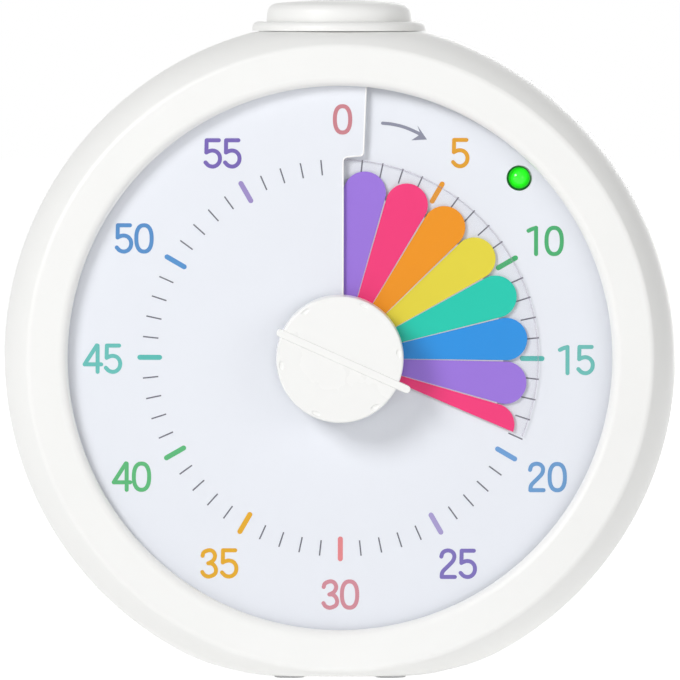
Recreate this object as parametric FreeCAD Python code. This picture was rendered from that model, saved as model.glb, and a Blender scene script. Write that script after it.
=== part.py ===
import FreeCAD, Part
import math
import os

V = FreeCAD.Vector

# Visual countdown timer: a round white case with a knob in the middle of a numbered dial.
# The knob turns a clear time disc, which comes out of a slit in the dial at 0.
# Millimetres, +Z up. The dial faces -Y and +X is to its right. The origin is under the middle.
# Every piece is drawn about the knob's axis first: X to the right, Z up, and Y as depth behind
# the bezel's front face. Clock angles are degrees clockwise from 12, seen from the front.

# Case
ROUND_STEPS = 3
BODY_R = 70.0
BODY_DEPTH = 45.0
WALL = 2.4
SHOULDER_W = 5.2
BEZEL_EDGE = 1.7
SHOULDER_SLOPE = 45.0
SHOULDER_STEPS = 4
SIDE_DRAFT = 0.4
RIM_W = 13.46
LIP_DEPTH = 3.0
LIP_FILLET = 2.0
BASE_CUT = 3.7
BASE_CORNER = 42.0
SEAT_CUT = 2.2
COVER_RIM = 4.0
COVER_FILLET = 3.0
SPIGOT_T = 1.6
SPIGOT_REACH = 2.0
SEAM = 0.15

# Base pads
PAD_R = 3.2
PAD_T = 0.9
PAD_PROUD = 0.4
PAD_MARGIN = 0.2
PAD_INSET = 8.0

# Dial sheet: one turn of a screw surface, so that its end at 12 stands above its start
CLIMB = 1.6
SCREW_STEP = 5.0
SHEET_T = 0.4
SHEET_LAP = 2.3
SHEET_HOLE_GAP = 1.5
SHEET_GAP = 0.35
TUCK_DEG = 5.0
REACH_DEG = 7.5
SLIT_X = 0.5
SLIT_STEP_X = 4.65
SLIT_LEAN = 0.8
STEP_CLEAR = 0.6
STEP_ROUND = 1.2

# Time disc
NUMBER_BAND = 15.24
FILM_T = 0.25
FILM_TURN = 359.8
TIME_SHOWN_DEG = 113.3

# Dial tray
TRAY_DROP = 1.8
TRAY_T = 2.0
TRAY_RIM = 0.96
LEDGE_W = 2.6
SEAT_GAP = 0.05
EAR_R = 3.0
EAR_CLOCKS = (30, 150, 210, 330)

# Indicator lamp
LED_INSET = 4.04
LED_CLOCK = 44.9
LED_R = 2.5
LED_LENGTH = 8.6
LED_RIM_R = 2.9
LED_RIM_T = 1.0
LED_SUNK = 0.5
LED_HOLE_GAP = 0.15
LEAD_T = 0.5
LEAD_PITCH = 2.54
LEAD_PAST = 1.0
LED_BOARD = (13.2, 8.0)
BOARD_T = 1.2
LED_POST_R = 1.3

# Knob, pointer, spindle and collar
KNOB_R = 13.25
KNOB_TAPER = 0.5
KNOB_PROUD = 6.0
KNOB_BACK = 2.0
KNOB_EDGE = 0.6
KNOB_WALL = 2.2
KNOB_HUB_R = 4.6
NOTCH_W = 1.4
NOTCH_DEEP = 0.55
NOTCH_COUNT = 6
NOTCH_SHORT = 1.2
POINTER_W = 1.6
POINTER_PAST = 2.35
TAIL_PAST = 1.05
POINTER_RISE = 0.25
POINTER_DEEP = 3.4
SPINDLE_R = 2.0
SPINDLE_IN_KNOB = 4.4
FIT_GAP = 0.03
RUN_GAP = 0.05
MOVE_GAP = 0.3
COLLAR_R = 5.7
SPLINE_RISE = 0.9
SPLINE_W = 1.6
SPLINE_COUNT = 3

# Bearing
BUSH_R = 4.0
BUSH_RIM_R = 5.2
BUSH_RIM_T = 0.8
BUSH_LENGTH = 5.0
BOSS_WALL = 2.6
CLIP_T = 0.6
CLIP_R = 4.0
CLIP_GROOVE = 0.4
CLIP_MOUTH = 2.4

# Gear train: wheel on the spindle, compound idler, pinion on the motor
MODULE = 0.5
WHEEL_TEETH = 50
IDLER_TEETH = 40
PINION_TEETH = 10
PRESSURE_DEG = 20.0
TOOTH_TIP = 0.8
TOOTH_ROOT = 1.1
TOOTH_FILL = 0.85
WHEEL_FACE = 2.0
WHEEL_HUB_T = 3.0
CLUTCH_T = 1.0
CLUTCH_R = 6.0
CLUTCH_HUB_T = 2.0
ARM_W = 1.8
ARM_COUNT = 3
PINION_OVERHANG = 0.3
IDLER_CLOCK = 300.0
MOTOR_CLOCK = 0.0
IDLER_AXLE_R = 1.0
MOTOR_SHAFT_R = 1.0
MOTOR_R = 10.0
MOTOR_LENGTH = 16.0
MOTOR_CAP_R = 3.3
MOTOR_CAP_T = 0.8
SHAFT_IN_MOTOR = 4.0
PLATE_T = 1.6
PLATE_GAP = 0.9
POST_R = 2.6
POST_SIDES = 8
PLATE_RIM = 2.2
PLATE_POSTS = ((-12.0, -15.0), (15.0, -10.0), (-3.0, 34.0), (-28.0, 14.0))
MAGNET_R = 1.5
MAGNET_T = 1.6
MAGNET_AT = 9.0
SENSOR_CLOCK = 120.0
SENSOR_BOARD = (6.0, 1.0, 5.0)
SENSOR_CHIP = (4.0, 1.3, 3.0)

# Main board
MAIN_X = (2.0, 42.0)
MAIN_Z = (6.0, 38.0)
MAIN_GAP = 2.0
MAIN_T = 1.6
MAIN_POSTS = ((5.5, 34.0), (38.0, 10.0), (20.0, 9.5))
MAIN_POST_R = 2.2
CHIP = (12.0, 1.6, 8.0)
SOCKET = (6.0, 5.0, 7.0)
SOCKET_IN = (2.0, 1.0)
CANISTER_R = 2.5
CANISTER_T = 7.0
CANISTER_IN = (5.0, 12.0)

# Push button on top
BUTTON_FROM_BACK = 22.0
FLANGE_LIP = 1.4
FLANGE_T = 2.0
FLANGE_ROUND = 0.8
BUTTON_R = 15.5
BUTTON_SIDE = 2.1
BUTTON_RISE = 4.5
BUTTON_ROUND = 1.6
BUTTON_WALL = 1.8
BUTTON_TRAVEL = 1.0
DOME_STEPS = 2
ROOF_DROP = 0.2
CUP_WALL = 0.75
CUP_DEEP = 5.8
CUP_FLOOR_T = 1.4
CUP_MOUTH_DROP = 2.7
SKIRT_LIP = 0.45
SKIRT_DEEP = 3.0
STEM_R = 2.2
CLAW_W = 6.0
CLAW_OUT = 1.0
SWITCH_W = 6.0
SWITCH_H = 3.5
PLUNGER_R = 1.75
PLUNGER_RISE = 1.4
PLUNGER_IN = 0.6
SPRING_R = 8.6
SPRING_WIRE = 0.8
SPRING_TURNS = 3.5
SWITCH_BOARD = 18.0

# Batteries and their bay
CELL_R = 7.1
CELL_LENGTH = 49.2
NIPPLE_R = 2.6
NIPPLE_T = 1.2
CELL_PITCH = 15.4
BAY_RISE = 30.5
BAY_WALL = 1.6
BAY_RIB_W = 0.7
BAY_RIB_H = 2.2
CELL_GAP = 0.5
CONTACT_ROOM = 3.2
CONTACT_T = 0.5
CONTACT_W = 11.0
CONTACT_BUMP = 5.0
CONTACT_COIL_R = 4.2
CONTACT_WIRE = 0.8
CONTACT_TURNS = 2.5
COIL_SIDES = 5
COIL_STEPS = 12

# Battery door
DOOR_T = 2.0
DOOR_GAP = 0.3
HINGE_R = 1.6
PIN_R = 1.0
PIN_LENGTH = 1.4
LUG_WALL = 1.1
THUMB_R = 7.0
THUMB_DEEP = 0.9
THUMB_MARGIN = 1.5
GRIP_COUNT = 3
GRIP_PITCH = 2.2
GRIP_W = 0.9
GRIP_DEEP = 0.4
GRIP_LENGTH = 24.0
GRIP_START = 5.0

# Rear screws
REAR_INSET = 8.5
REAR_CLOCKS = (45, 135, 225, 315)
REAR_BOSS_R = 3.6
REAR_HEAD_R = 2.8
REAR_HEAD_T = 2.0
REAR_SHANK_R = 1.3
REAR_WELL = 3.0
REAR_BITE = 9.0

# Sounder and its grille
SOUND_X = 34.0
SOUND_Z = 20.0
SOUND_R = 11.5
SOUND_T = 5.0
SOUND_CLIPS = 3
SOUND_CLIP_W = 6.0
GRILLE_SLOTS = 5
GRILLE_PITCH = 3.4
GRILLE_W = 1.6

# Volume switch
VOLUME_X = -36.0
VOLUME_Z = 20.0
VOLUME_TRAVEL = 2.5
SLIDER_W = 3.2
SLIDER_H = 3.0
VOLUME_BODY = (15.0, 8.0, 4.2)
VOLUME_DISH = 0.9
VOLUME_MARGIN = 2.0
VOLUME_CORNER = 1.5
RIDGE_GAP = 0.5
RIDGE_DEEP = 0.5
SLIDER_SUNK = 0.1

# Worked out from the sizes above
BASE_DROP = BODY_R - BASE_CUT
SEAT_RISE = BODY_R - SEAT_CUT
BEZEL_R = BODY_R - SHOULDER_W
WINDOW_R = BODY_R - RIM_W
BASE_HALF = math.sqrt((BODY_R - BASE_CORNER) ** 2 - (BASE_DROP - BASE_CORNER) ** 2)
PAD_X = BASE_HALF - PAD_R - PAD_MARGIN
POINTER_TOP = KNOB_PROUD + POINTER_RISE
FRONT_Y = (POINTER_TOP - BODY_DEPTH) / 2
DIAL_Z = BASE_DROP + PAD_PROUD
COVER_FRONT = BODY_DEPTH - COVER_RIM
COVER_INSIDE = BODY_DEPTH - WALL
SHOULDER_R = (BODY_R - BEZEL_R) / (1 - math.cos(math.radians(SHOULDER_SLOPE)))
SHOULDER_END = SHOULDER_R * math.sin(math.radians(SHOULDER_SLOPE))
SHEET_R = WINDOW_R + SHEET_LAP
SHEET_FRONT = LIP_DEPTH + SHEET_GAP + CLIMB * (360 + REACH_DEG) / 360
FILM_MIDDLE = SHEET_FRONT - (CLIMB - SHEET_T) / 2
FILM_R = WINDOW_R - NUMBER_BAND
FILM_IN_R = COLLAR_R + MOVE_GAP
SHEET_HOLE_R = COLLAR_R + SHEET_HOLE_GAP
TRAY_R = SHEET_R + TRAY_RIM
LED_AT = WINDOW_R - LED_INSET
KNOB_FACE_R = KNOB_R - KNOB_TAPER
EAR_CENTRE = SHEET_R + EAR_R + MOVE_GAP
TRAY_FRONT = SHEET_FRONT + SHEET_T + TRAY_DROP
TRAY_BACK = TRAY_FRONT + TRAY_T
BUSH_BACK = TRAY_FRONT + BUSH_LENGTH
COLLAR_BACK = TRAY_FRONT - MOVE_GAP
CLIP_FRONT = BUSH_BACK + MOVE_GAP
CLUTCH_FRONT = CLIP_FRONT + CLIP_T + MOVE_GAP
WHEEL_FRONT = CLUTCH_FRONT + CLUTCH_T + SEAT_GAP
WHEEL_BACK = WHEEL_FRONT + WHEEL_FACE
HUB_FRONT = WHEEL_FRONT + WHEEL_HUB_T + SEAT_GAP
IDLER_FRONT = WHEEL_BACK + 2 * PINION_OVERHANG
IDLER_BACK = IDLER_FRONT + WHEEL_FACE
PLATE_FRONT = max(HUB_FRONT + CLUTCH_HUB_T, IDLER_BACK) + PLATE_GAP
PLATE_BACK = PLATE_FRONT + PLATE_T
MAIN_DEPTH = PLATE_BACK + MAIN_GAP
FIRST_CENTRES = MODULE * (WHEEL_TEETH + PINION_TEETH) / 2
SECOND_CENTRES = MODULE * (IDLER_TEETH + PINION_TEETH) / 2
HUB_R = FIRST_CENTRES - MODULE * (IDLER_TEETH / 2 + TOOTH_TIP) - MOVE_GAP
LED_FRONT = SHEET_FRONT - CLIMB * LED_CLOCK / 360 + LED_SUNK
LED_BACK = LED_FRONT + LED_LENGTH
BUTTON_DEPTH = BODY_DEPTH - BUTTON_FROM_BACK
CUP_IN_R = BUTTON_R + SKIRT_LIP + MOVE_GAP
CUP_R = CUP_IN_R + CUP_WALL
CUP_FLOOR = SEAT_RISE - CUP_DEEP
SKIRT_END = SEAT_RISE - SKIRT_DEEP
FLANGE_R = CUP_R + FLANGE_LIP
BUTTON_FOOT = SEAT_RISE + FLANGE_T
REAR_SCREW_AT = BODY_R - REAR_INSET
BAY_MID = BAY_RISE - BASE_DROP
BAY_X = CELL_LENGTH / 2 + NIPPLE_T + CONTACT_ROOM
CELL_DEPTH = COVER_INSIDE - CELL_GAP - CELL_R
BAY_FLOOR = CELL_DEPTH - CELL_R - CELL_GAP
BAY_HALF_Z = CELL_PITCH / 2 + CELL_R + CELL_GAP
DOOR_X = BAY_X + BAY_WALL - DOOR_GAP
DOOR_LOW = BAY_MID - BAY_HALF_Z - BAY_WALL
DOOR_HIGH = BAY_MID + BAY_HALF_Z + BAY_WALL
HINGE_Z = DOOR_LOW + HINGE_R
HINGE_DEPTH = BODY_DEPTH - HINGE_R


def clock_point(radius, clock, depth=0.0):
    """Point at a radius and a clock angle on the dial, at a depth behind the bezel."""
    angle = math.radians(clock)
    return V(radius * math.sin(angle), depth, radius * math.cos(angle))


def rod(radius, front, back, at=None):
    """Round rod along the depth, from front to back."""
    at = at or V(0, 0, 0)
    return Part.makeCylinder(radius, back - front, V(at.x, front, at.z), V(0, 1, 0))


def post(radius, front, back, at):
    """Eight-sided post along the depth, as wide across its corners as a rod."""
    corners = [clock_point(radius, 360 * i / POST_SIDES, front) for i in range(POST_SIDES)]
    section = Part.Face(Part.makePolygon(corners + corners[:1]))
    section.translate(V(at.x, 0, at.z))
    return section.extrude(V(0, back - front, 0))


def plate_at(at, size, depth):
    """Box centred on a point, from its width and height and a pair of depths."""
    return block((at.x - size[0] / 2, at.x + size[0] / 2), depth,
                 (at.z - size[1] / 2, at.z + size[1] / 2))


def tube(outer, inner, front, back, at=None):
    return rod(outer, front, back, at).cut(rod(inner, front - 1, back + 1, at))


def upright(radius, low, high, x=0.0):
    """Round rod that stands up, in line with the push button."""
    return Part.makeCylinder(radius, high - low, V(x, BUTTON_DEPTH, low), V(0, 0, 1))


def block(x, depth, z):
    """Box from three pairs of limits."""
    return Part.makeBox(x[1] - x[0], depth[1] - depth[0], z[1] - z[0], V(x[0], depth[0], z[0]))


def outline(place, start, *moves):
    """Closed wire. A move is an end point, or a pair of a point passed through and an end."""
    edges = []
    here = start
    for move in moves + (start,):
        if isinstance(move[0], tuple):
            edges.append(Part.Arc(place(*here), place(*move[0]), place(*move[1])).toShape())
            here = move[1]
        elif move != here:
            edges.append(Part.LineSegment(place(*here), place(*move)).toShape())
            here = move
    return Part.Wire(edges)


def spun(start, *moves):
    """Solid turned about the knob's axis, from a section of radius and depth."""
    section = outline(lambda r, depth: V(r, depth, 0), start, *moves)
    return Part.Face(section).revolve(V(0, 0, 0), V(0, 1, 0), 360)


def spun_upright(start, *moves):
    """Solid turned about the push button's axis, from a section of radius and height."""
    section = outline(lambda r, z: V(r, BUTTON_DEPTH, z), start, *moves)
    return Part.Face(section).revolve(V(0, BUTTON_DEPTH, 0), V(0, 0, 1), 360)


def skinned(rings):
    """Closed solid of flat facets over a row of rings with as many corners each."""
    facets = [Part.Face(Part.makePolygon(ring + ring[:1])) for ring in (rings[0], rings[-1])]
    for ring, after in zip(rings, rings[1:]):
        for i in range(len(ring)):
            j = (i + 1) % len(ring)
            for corners in ((ring[i], ring[j], after[j]), (ring[i], after[j], after[i])):
                facets.append(Part.Face(Part.makePolygon(list(corners + corners[:1]))))
    solid = Part.makeSolid(Part.makeShell(facets))
    if solid.Volume < 0:
        solid.reverse()
    return solid


def screw_sweep(inner, outer, front, thickness, start, end):
    """Band that turns clockwise from start to end and climbs towards the viewer by CLIMB a turn,
    in flat facets of SCREW_STEP degrees. Its front face is at the depth front at 12."""
    steps = math.ceil((end - start) / SCREW_STEP)
    rings = []
    for i in range(steps + 1):
        clock = min(start + i * SCREW_STEP, end)
        depth = front - CLIMB * clock / 360
        rings.append([clock_point(inner, clock, depth), clock_point(outer, clock, depth),
                      clock_point(outer, clock, depth + thickness),
                      clock_point(inner, clock, depth + thickness)])
    return skinned(rings)


def rounded(centre, radius, start, end, steps=ROUND_STEPS):
    """Points round a curve in a section. The angle turns from outward at 0 to the front, or down,
    at 90 degrees."""
    points = []
    for i in range(steps + 1):
        angle = math.radians(start + (end - start) * i / steps)
        points.append((centre[0] + radius * math.cos(angle), centre[1] - radius * math.sin(angle)))
    return points


def coil(radius, wire, turns, length):
    """Coiled wire that stands on the origin along +Z, in short straight pieces."""
    rings = []
    steps = round(turns * COIL_STEPS)
    for i in range(steps + 1):
        turn = 2 * math.pi * turns * i / steps
        ring = []
        for j in range(COIL_SIDES):
            angle = 2 * math.pi * j / COIL_SIDES
            r = radius + wire / 2 * math.cos(angle)
            z = length * i / steps + wire / 2 * math.sin(angle)
            ring.append(V(r * math.cos(turn), r * math.sin(turn), z))
        rings.append(ring)
    return skinned(rings)


def save(name, shape):
    shape = shape.copy()
    shape.translate(V(0, FRONT_Y, DIAL_Z))
    solids = shape.Solids
    if len(solids) != 1 or not shape.isValid():
        print("check", name, len(solids), shape.isValid())
    shape = solids[0] if len(solids) == 1 else shape
    shape.exportStep("parts/" + name + ".step")


def body_prism(inset, front, back):
    """Prism of the case's front outline: round, with a flat base on large corners and a flat seat
    on top. Inset moves every side in, for the inside of a wall."""
    corner = BASE_CORNER - inset
    low = -(BASE_DROP - inset)
    high = SEAT_RISE - inset
    round_r = BODY_R - inset
    centre_z = low + corner
    centre_x = BASE_HALF
    turn = math.atan2(centre_x, -centre_z)
    middle = turn / 2
    clear = round_r + 2
    top_x = math.sqrt(clear ** 2 - high ** 2)

    def on_corner(side, angle):
        return (side * (centre_x + corner * math.sin(angle)), centre_z - corner * math.cos(angle))

    def on_round(side):
        return (side * clear * math.sin(turn), -clear * math.cos(turn))

    def widest(side):
        return (side * clear, 0.0)

    section = outline(lambda x, z: V(x, front, z),
                      (-centre_x, low), (centre_x, low),
                      (on_corner(1, middle), on_corner(1, turn)), on_round(1),
                      (widest(1), (top_x, high)), (-top_x, high),
                      (widest(-1), on_round(-1)), on_corner(-1, turn),
                      (on_corner(-1, middle), (-centre_x, low)))
    return Part.Face(section).extrude(V(0, back - front, 0))


def at_each(clocks, radius, make):
    """One made piece at each clock angle, joined."""
    pieces = [make(clock_point(radius, clock)) for clock in clocks]
    return pieces[0].multiFuse(pieces[1:])


def pad_centres():
    depths = (PAD_INSET, BODY_DEPTH - PAD_INSET)
    return [(x, depth) for depth in depths for x in (-PAD_X, PAD_X)]


def base_disc(radius, low, high, x, depth):
    return Part.makeCylinder(radius, high - low, V(x, depth, low), V(0, 0, 1))


def front_housing():
    """Bezel ring, shoulder and side wall in one moulding, open at the back."""
    end_r = BODY_R - SIDE_DRAFT
    bend = (BODY_R - SHOULDER_R, SHOULDER_END)
    curve = rounded(bend, SHOULDER_R, SHOULDER_SLOPE, 0, SHOULDER_STEPS)
    side = BEZEL_EDGE * math.tan(math.radians(SHOULDER_SLOPE) / 2)
    along = math.radians(SHOULDER_SLOPE)
    edge = (BEZEL_R + side * math.cos(along), side * math.sin(along))
    solid_form = spun((0, 0), (BEZEL_R - side, 0), edge, *curve[1:], (end_r, COVER_FRONT),
                      (0, COVER_FRONT))
    solid_form = solid_form.common(body_prism(0.0, -1, BODY_DEPTH))
    inner_r = bend[0] + math.sqrt((SHOULDER_R - WALL) ** 2 - (SHOULDER_END - LIP_DEPTH) ** 2)
    hollow = spun((0, LIP_DEPTH), (inner_r, LIP_DEPTH), (BODY_R - WALL, SHOULDER_END),
                  (end_r - WALL, COVER_FRONT + 1), (0, COVER_FRONT + 1))
    hollow = hollow.common(body_prism(WALL, -1, BODY_DEPTH + 2))
    lip = rounded((WINDOW_R + LIP_FILLET, LIP_FILLET), LIP_FILLET, 90, 180)
    window = spun((0, -1), (lip[0][0], -1), *lip, (WINDOW_R, LIP_DEPTH + 1), (0, LIP_DEPTH + 1))
    shell = solid_form.cut(hollow).cut(window)
    shell = shell.fuse(at_each(EAR_CLOCKS, EAR_CENTRE, tray_boss).common(solid_form))
    shell = shell.fuse(at_each(REAR_CLOCKS, REAR_SCREW_AT, rear_boss).common(solid_form))
    shell = shell.cut(at_each(REAR_CLOCKS, REAR_SCREW_AT, rear_pilot))
    shell = shell.cut(upright(CUP_R + SEAM, SEAT_RISE - WALL - 3, SEAT_RISE + 1))
    for x, depth in pad_centres():
        shell = shell.cut(base_disc(PAD_R + SEAM, -BASE_DROP - 1, pad_recess_top(), x, depth))
    return shell.removeSplitter()


def tray_boss(at):
    return post(EAR_R - SEAM, LIP_DEPTH - 1, TRAY_FRONT - SEAT_GAP, at)


def rear_boss_ends():
    back = COVER_INSIDE - REAR_WELL
    return back - REAR_BITE - 3, back


def rear_boss(at):
    """Boss with a web that ties it to the side wall."""
    front, back = rear_boss_ends()
    boss = post(REAR_BOSS_R, front, back, at)
    out = V(at.x, 0, at.z).normalize()
    clock = math.degrees(math.atan2(out.x, out.z))
    web_back = COVER_FRONT - SPIGOT_REACH - MOVE_GAP
    web = block((-WALL / 2, WALL / 2), (front, web_back), (REAR_SCREW_AT, BODY_R - WALL / 2))
    web.rotate(V(0, 0, 0), V(0, 1, 0), clock)
    return boss.fuse(web)


def rear_pilot(at):
    front, back = rear_boss_ends()
    return rod(REAR_SHANK_R + FIT_GAP, front + 1, back + 1, at)


def pad_recess_top():
    return -BASE_DROP + PAD_T - PAD_PROUD


def base_pad(x, depth):
    return base_disc(PAD_R, -BASE_DROP - PAD_PROUD, pad_recess_top() - SEAT_GAP, x, depth)


def rear_cover():
    """Back plate with a rounded rim, a spigot inside the case wall, screw wells, the battery
    opening with its hinge lugs, the sounder's grille and the volume switch's dish."""
    rim_r = BODY_R - SIDE_DRAFT - SEAM
    start = COVER_FRONT + SEAM
    rim = rounded((rim_r - COVER_FILLET, BODY_DEPTH - COVER_FILLET), COVER_FILLET, 0, -90)
    outer = spun((0, start), (rim_r, start), *rim, (0, BODY_DEPTH))
    outer = outer.common(body_prism(SEAM, 0, BODY_DEPTH + 1))
    hollow = rod(BODY_R - WALL, start - 1, COVER_INSIDE).common(body_prism(WALL, 0, BODY_DEPTH))
    spigot_out = rod(BODY_R - SIDE_DRAFT - WALL - SEAM, start - SPIGOT_REACH, COVER_INSIDE)
    spigot_out = spigot_out.common(body_prism(WALL + SEAM, 0, BODY_DEPTH))
    spigot_in = rod(BODY_R - SIDE_DRAFT - WALL - SEAM - SPIGOT_T, 0, COVER_INSIDE)
    spigot_in = spigot_in.common(body_prism(WALL + SEAM + SPIGOT_T, 0, BODY_DEPTH))
    cover = outer.cut(hollow).fuse(spigot_out.cut(spigot_in))
    cover = cover.cut(upright(CUP_R + CLAW_OUT + 1, CUP_FLOOR - 2, SEAT_RISE - WALL))
    cover = cover.fuse(at_each(REAR_CLOCKS, REAR_SCREW_AT, cover_post).common(outer_space(rim_r)))
    cover = cover.cut(at_each(REAR_CLOCKS, REAR_SCREW_AT, cover_well))
    cover = cover.fuse(hinge_lug(1)).fuse(hinge_lug(-1))
    cover = cover.cut(door_opening()).cut(hinge_sockets())
    cover = cover.cut(grille()).cut(volume_cut())
    for i in range(SOUND_CLIPS):
        cover = cover.fuse(sounder_clip(i * 360 / SOUND_CLIPS))
    return cover.removeSplitter()


def sounder_clip(clock):
    """Short upright rib beside the sounder."""
    inner = SOUND_R + SEAM
    clip = block((-SOUND_CLIP_W / 2, SOUND_CLIP_W / 2), (COVER_INSIDE - SOUND_T / 2, COVER_INSIDE),
                 (inner, inner + WALL / 2))
    clip.rotate(V(0, 0, 0), V(0, 1, 0), clock)
    clip.translate(V(SOUND_X, 0, SOUND_Z))
    return clip


def outer_space(radius):
    return rod(radius - WALL / 2, 0, BODY_DEPTH - WALL / 2)


def cover_post(at):
    return post(REAR_HEAD_R + WALL / 2 + MOVE_GAP, COVER_INSIDE - REAR_WELL + SEAM, COVER_INSIDE + 1, at)


def cover_well(at):
    head = rod(REAR_HEAD_R + MOVE_GAP, BODY_DEPTH - REAR_WELL, BODY_DEPTH + 1, at)
    return head.fuse(rod(REAR_SHANK_R + MOVE_GAP, 0, BODY_DEPTH, at))


def rear_screw(at):
    """Round-headed screw, its head sunk in the cover's well."""
    seat = BODY_DEPTH - REAR_WELL
    head = rod(REAR_HEAD_R, seat, seat + REAR_HEAD_T, at)
    return head.fuse(rod(REAR_SHANK_R, rear_boss_ends()[1] - REAR_BITE, seat, at))


def door_opening():
    return block((-DOOR_X - DOOR_GAP, DOOR_X + DOOR_GAP), (COVER_INSIDE - 1, BODY_DEPTH + 1),
                 (DOOR_LOW - DOOR_GAP, DOOR_HIGH + DOOR_GAP))


def hinge_lug(side):
    """Thick spot beside the battery opening, round the end of the hinge pin."""
    inner = BAY_X + BAY_WALL + SEAM
    outer = DOOR_X + DOOR_GAP + PIN_LENGTH + LUG_WALL
    reach = PIN_R + LUG_WALL
    x = (inner, outer) if side > 0 else (-outer, -inner)
    return block(x, (HINGE_DEPTH - reach, COVER_INSIDE), (HINGE_Z - reach, HINGE_Z + reach))


def hinge_sockets():
    half = DOOR_X + PIN_LENGTH + DOOR_GAP
    return Part.makeCylinder(PIN_R + RUN_GAP, 2 * half, V(-half, HINGE_DEPTH, HINGE_Z), V(1, 0, 0))


def battery_door():
    """Flat door with a rolled lower edge on two pins and a dished thumb rest at the top."""
    top = DOOR_HIGH
    plate = block((-DOOR_X, DOOR_X), (BODY_DEPTH - DOOR_T, BODY_DEPTH), (HINGE_Z, top))
    knuckle = Part.makeCylinder(HINGE_R, 2 * DOOR_X, V(-DOOR_X, HINGE_DEPTH, HINGE_Z), V(1, 0, 0))
    half = DOOR_X + PIN_LENGTH
    pin = Part.makeCylinder(PIN_R, 2 * half, V(-half, HINGE_DEPTH, HINGE_Z), V(1, 0, 0))
    door = plate.fuse(knuckle).fuse(pin)
    ball_r = (THUMB_R ** 2 + THUMB_DEEP ** 2) / (2 * THUMB_DEEP)
    dish_z = top - THUMB_R - THUMB_MARGIN
    dish = Part.makeSphere(ball_r, V(0, BODY_DEPTH + ball_r - THUMB_DEEP, dish_z))
    door = door.cut(dish)
    for i in range(GRIP_COUNT):
        groove_z = HINGE_Z + GRIP_START + GRIP_PITCH * i
        door = door.cut(block((-GRIP_LENGTH / 2, GRIP_LENGTH / 2),
                              (BODY_DEPTH - GRIP_DEEP, BODY_DEPTH + 1),
                              (groove_z, groove_z + GRIP_W)))
    return door.removeSplitter()


def battery_bay():
    """Open box for two cells, with a low rib between them and slots for the contacts."""
    x = BAY_X + BAY_WALL
    z_low = BAY_MID - BAY_HALF_Z - BAY_WALL
    z_high = BAY_MID + BAY_HALF_Z + BAY_WALL
    box = block((-x, x), (BAY_FLOOR - BAY_WALL, COVER_INSIDE - SEAM), (z_low, z_high))
    box = box.cut(block((-BAY_X, BAY_X), (BAY_FLOOR, COVER_INSIDE + 1),
                        (z_low + BAY_WALL, z_high - BAY_WALL)))
    knuckle_front = HINGE_DEPTH - HINGE_R - MOVE_GAP
    box = box.cut(block((-x - 1, x + 1), (knuckle_front, COVER_INSIDE + 1),
                        (z_low - 1, HINGE_Z + HINGE_R + MOVE_GAP)))
    rib = block((-BAY_X, BAY_X), (BAY_FLOOR - BAY_WALL / 2, BAY_FLOOR + BAY_RIB_H),
                (BAY_MID - BAY_RIB_W / 2, BAY_MID + BAY_RIB_W / 2))
    return box.fuse(rib).removeSplitter()


def cell_centre(number):
    side = 1 if number == 1 else -1
    return V(0, CELL_DEPTH, BAY_MID + side * CELL_PITCH / 2)


def battery_cell(number):
    """AA cell with its raised end; the two cells lie opposite ways."""
    side = 1 if number == 1 else -1
    centre = cell_centre(number)
    half = CELL_LENGTH / 2
    can = Part.makeCylinder(CELL_R, CELL_LENGTH, centre + V(-half, 0, 0), V(1, 0, 0))
    tip = Part.makeCylinder(NIPPLE_R, NIPPLE_T, centre + V(side * half, 0, 0), V(side, 0, 0))
    return can.fuse(tip)


def contact_pad(width, near, far, centre):
    """Square plate at the right-hand end of a cell, from near to far along the cell."""
    half = width / 2
    return block((near, far), (centre.y - half, centre.y + half), (centre.z - half, centre.z + half))


def contact_plate(number):
    """Flat contact that meets the raised end of a cell."""
    side = 1 if number == 1 else -1
    centre = cell_centre(number)
    inner = CELL_LENGTH / 2 + NIPPLE_T + SEAT_GAP
    outer = BAY_X - SEAT_GAP
    bump = contact_pad(CONTACT_BUMP, inner, outer - CONTACT_T, centre)
    contact = contact_pad(CONTACT_W, outer - CONTACT_T, outer, centre).fuse(bump)
    if side < 0:
        contact = contact.mirror(V(0, 0, 0), V(1, 0, 0))
    return contact


def contact_spring(number):
    """Plate with a coiled wire that presses on the flat end of a cell."""
    side = -1 if number == 1 else 1
    centre = cell_centre(number)
    outer = BAY_X - SEAT_GAP
    reach = outer - CONTACT_T - CELL_LENGTH / 2 - SEAT_GAP - CONTACT_WIRE / 2
    plate = contact_pad(CONTACT_W, outer - CONTACT_T, outer, centre)
    wire = coil(CONTACT_COIL_R, CONTACT_WIRE, CONTACT_TURNS, reach)
    wire.rotate(V(0, 0, 0), V(0, 1, 0), -90)
    wire.translate(V(outer - CONTACT_T, centre.y, centre.z))
    contact = plate.fuse(wire)
    if side < 0:
        contact = contact.mirror(V(0, 0, 0), V(1, 0, 0))
    return contact


def grille():
    """Round-ended slots, longest in the middle, over the sounder."""
    cuts = []
    for i in range(GRILLE_SLOTS):
        x = (i - (GRILLE_SLOTS - 1) / 2) * GRILLE_PITCH
        half = math.sqrt((SOUND_R - GRILLE_W) ** 2 - x ** 2) - GRILLE_W
        z = (SOUND_Z - half, SOUND_Z + half)
        cx = SOUND_X + x
        cuts.append(block((cx - GRILLE_W / 2, cx + GRILLE_W / 2),
                          (COVER_INSIDE - 1, BODY_DEPTH + 1), z))
        for end in z:
            cuts.append(rod(GRILLE_W / 2, COVER_INSIDE - 1, BODY_DEPTH + 1, V(cx, 0, end)))
    return cuts[0].multiFuse(cuts[1:])


def sounder():
    at = V(SOUND_X, 0, SOUND_Z)
    back = COVER_INSIDE - SEAT_GAP
    return rod(SOUND_R, back - SOUND_T, back, at)


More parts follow.
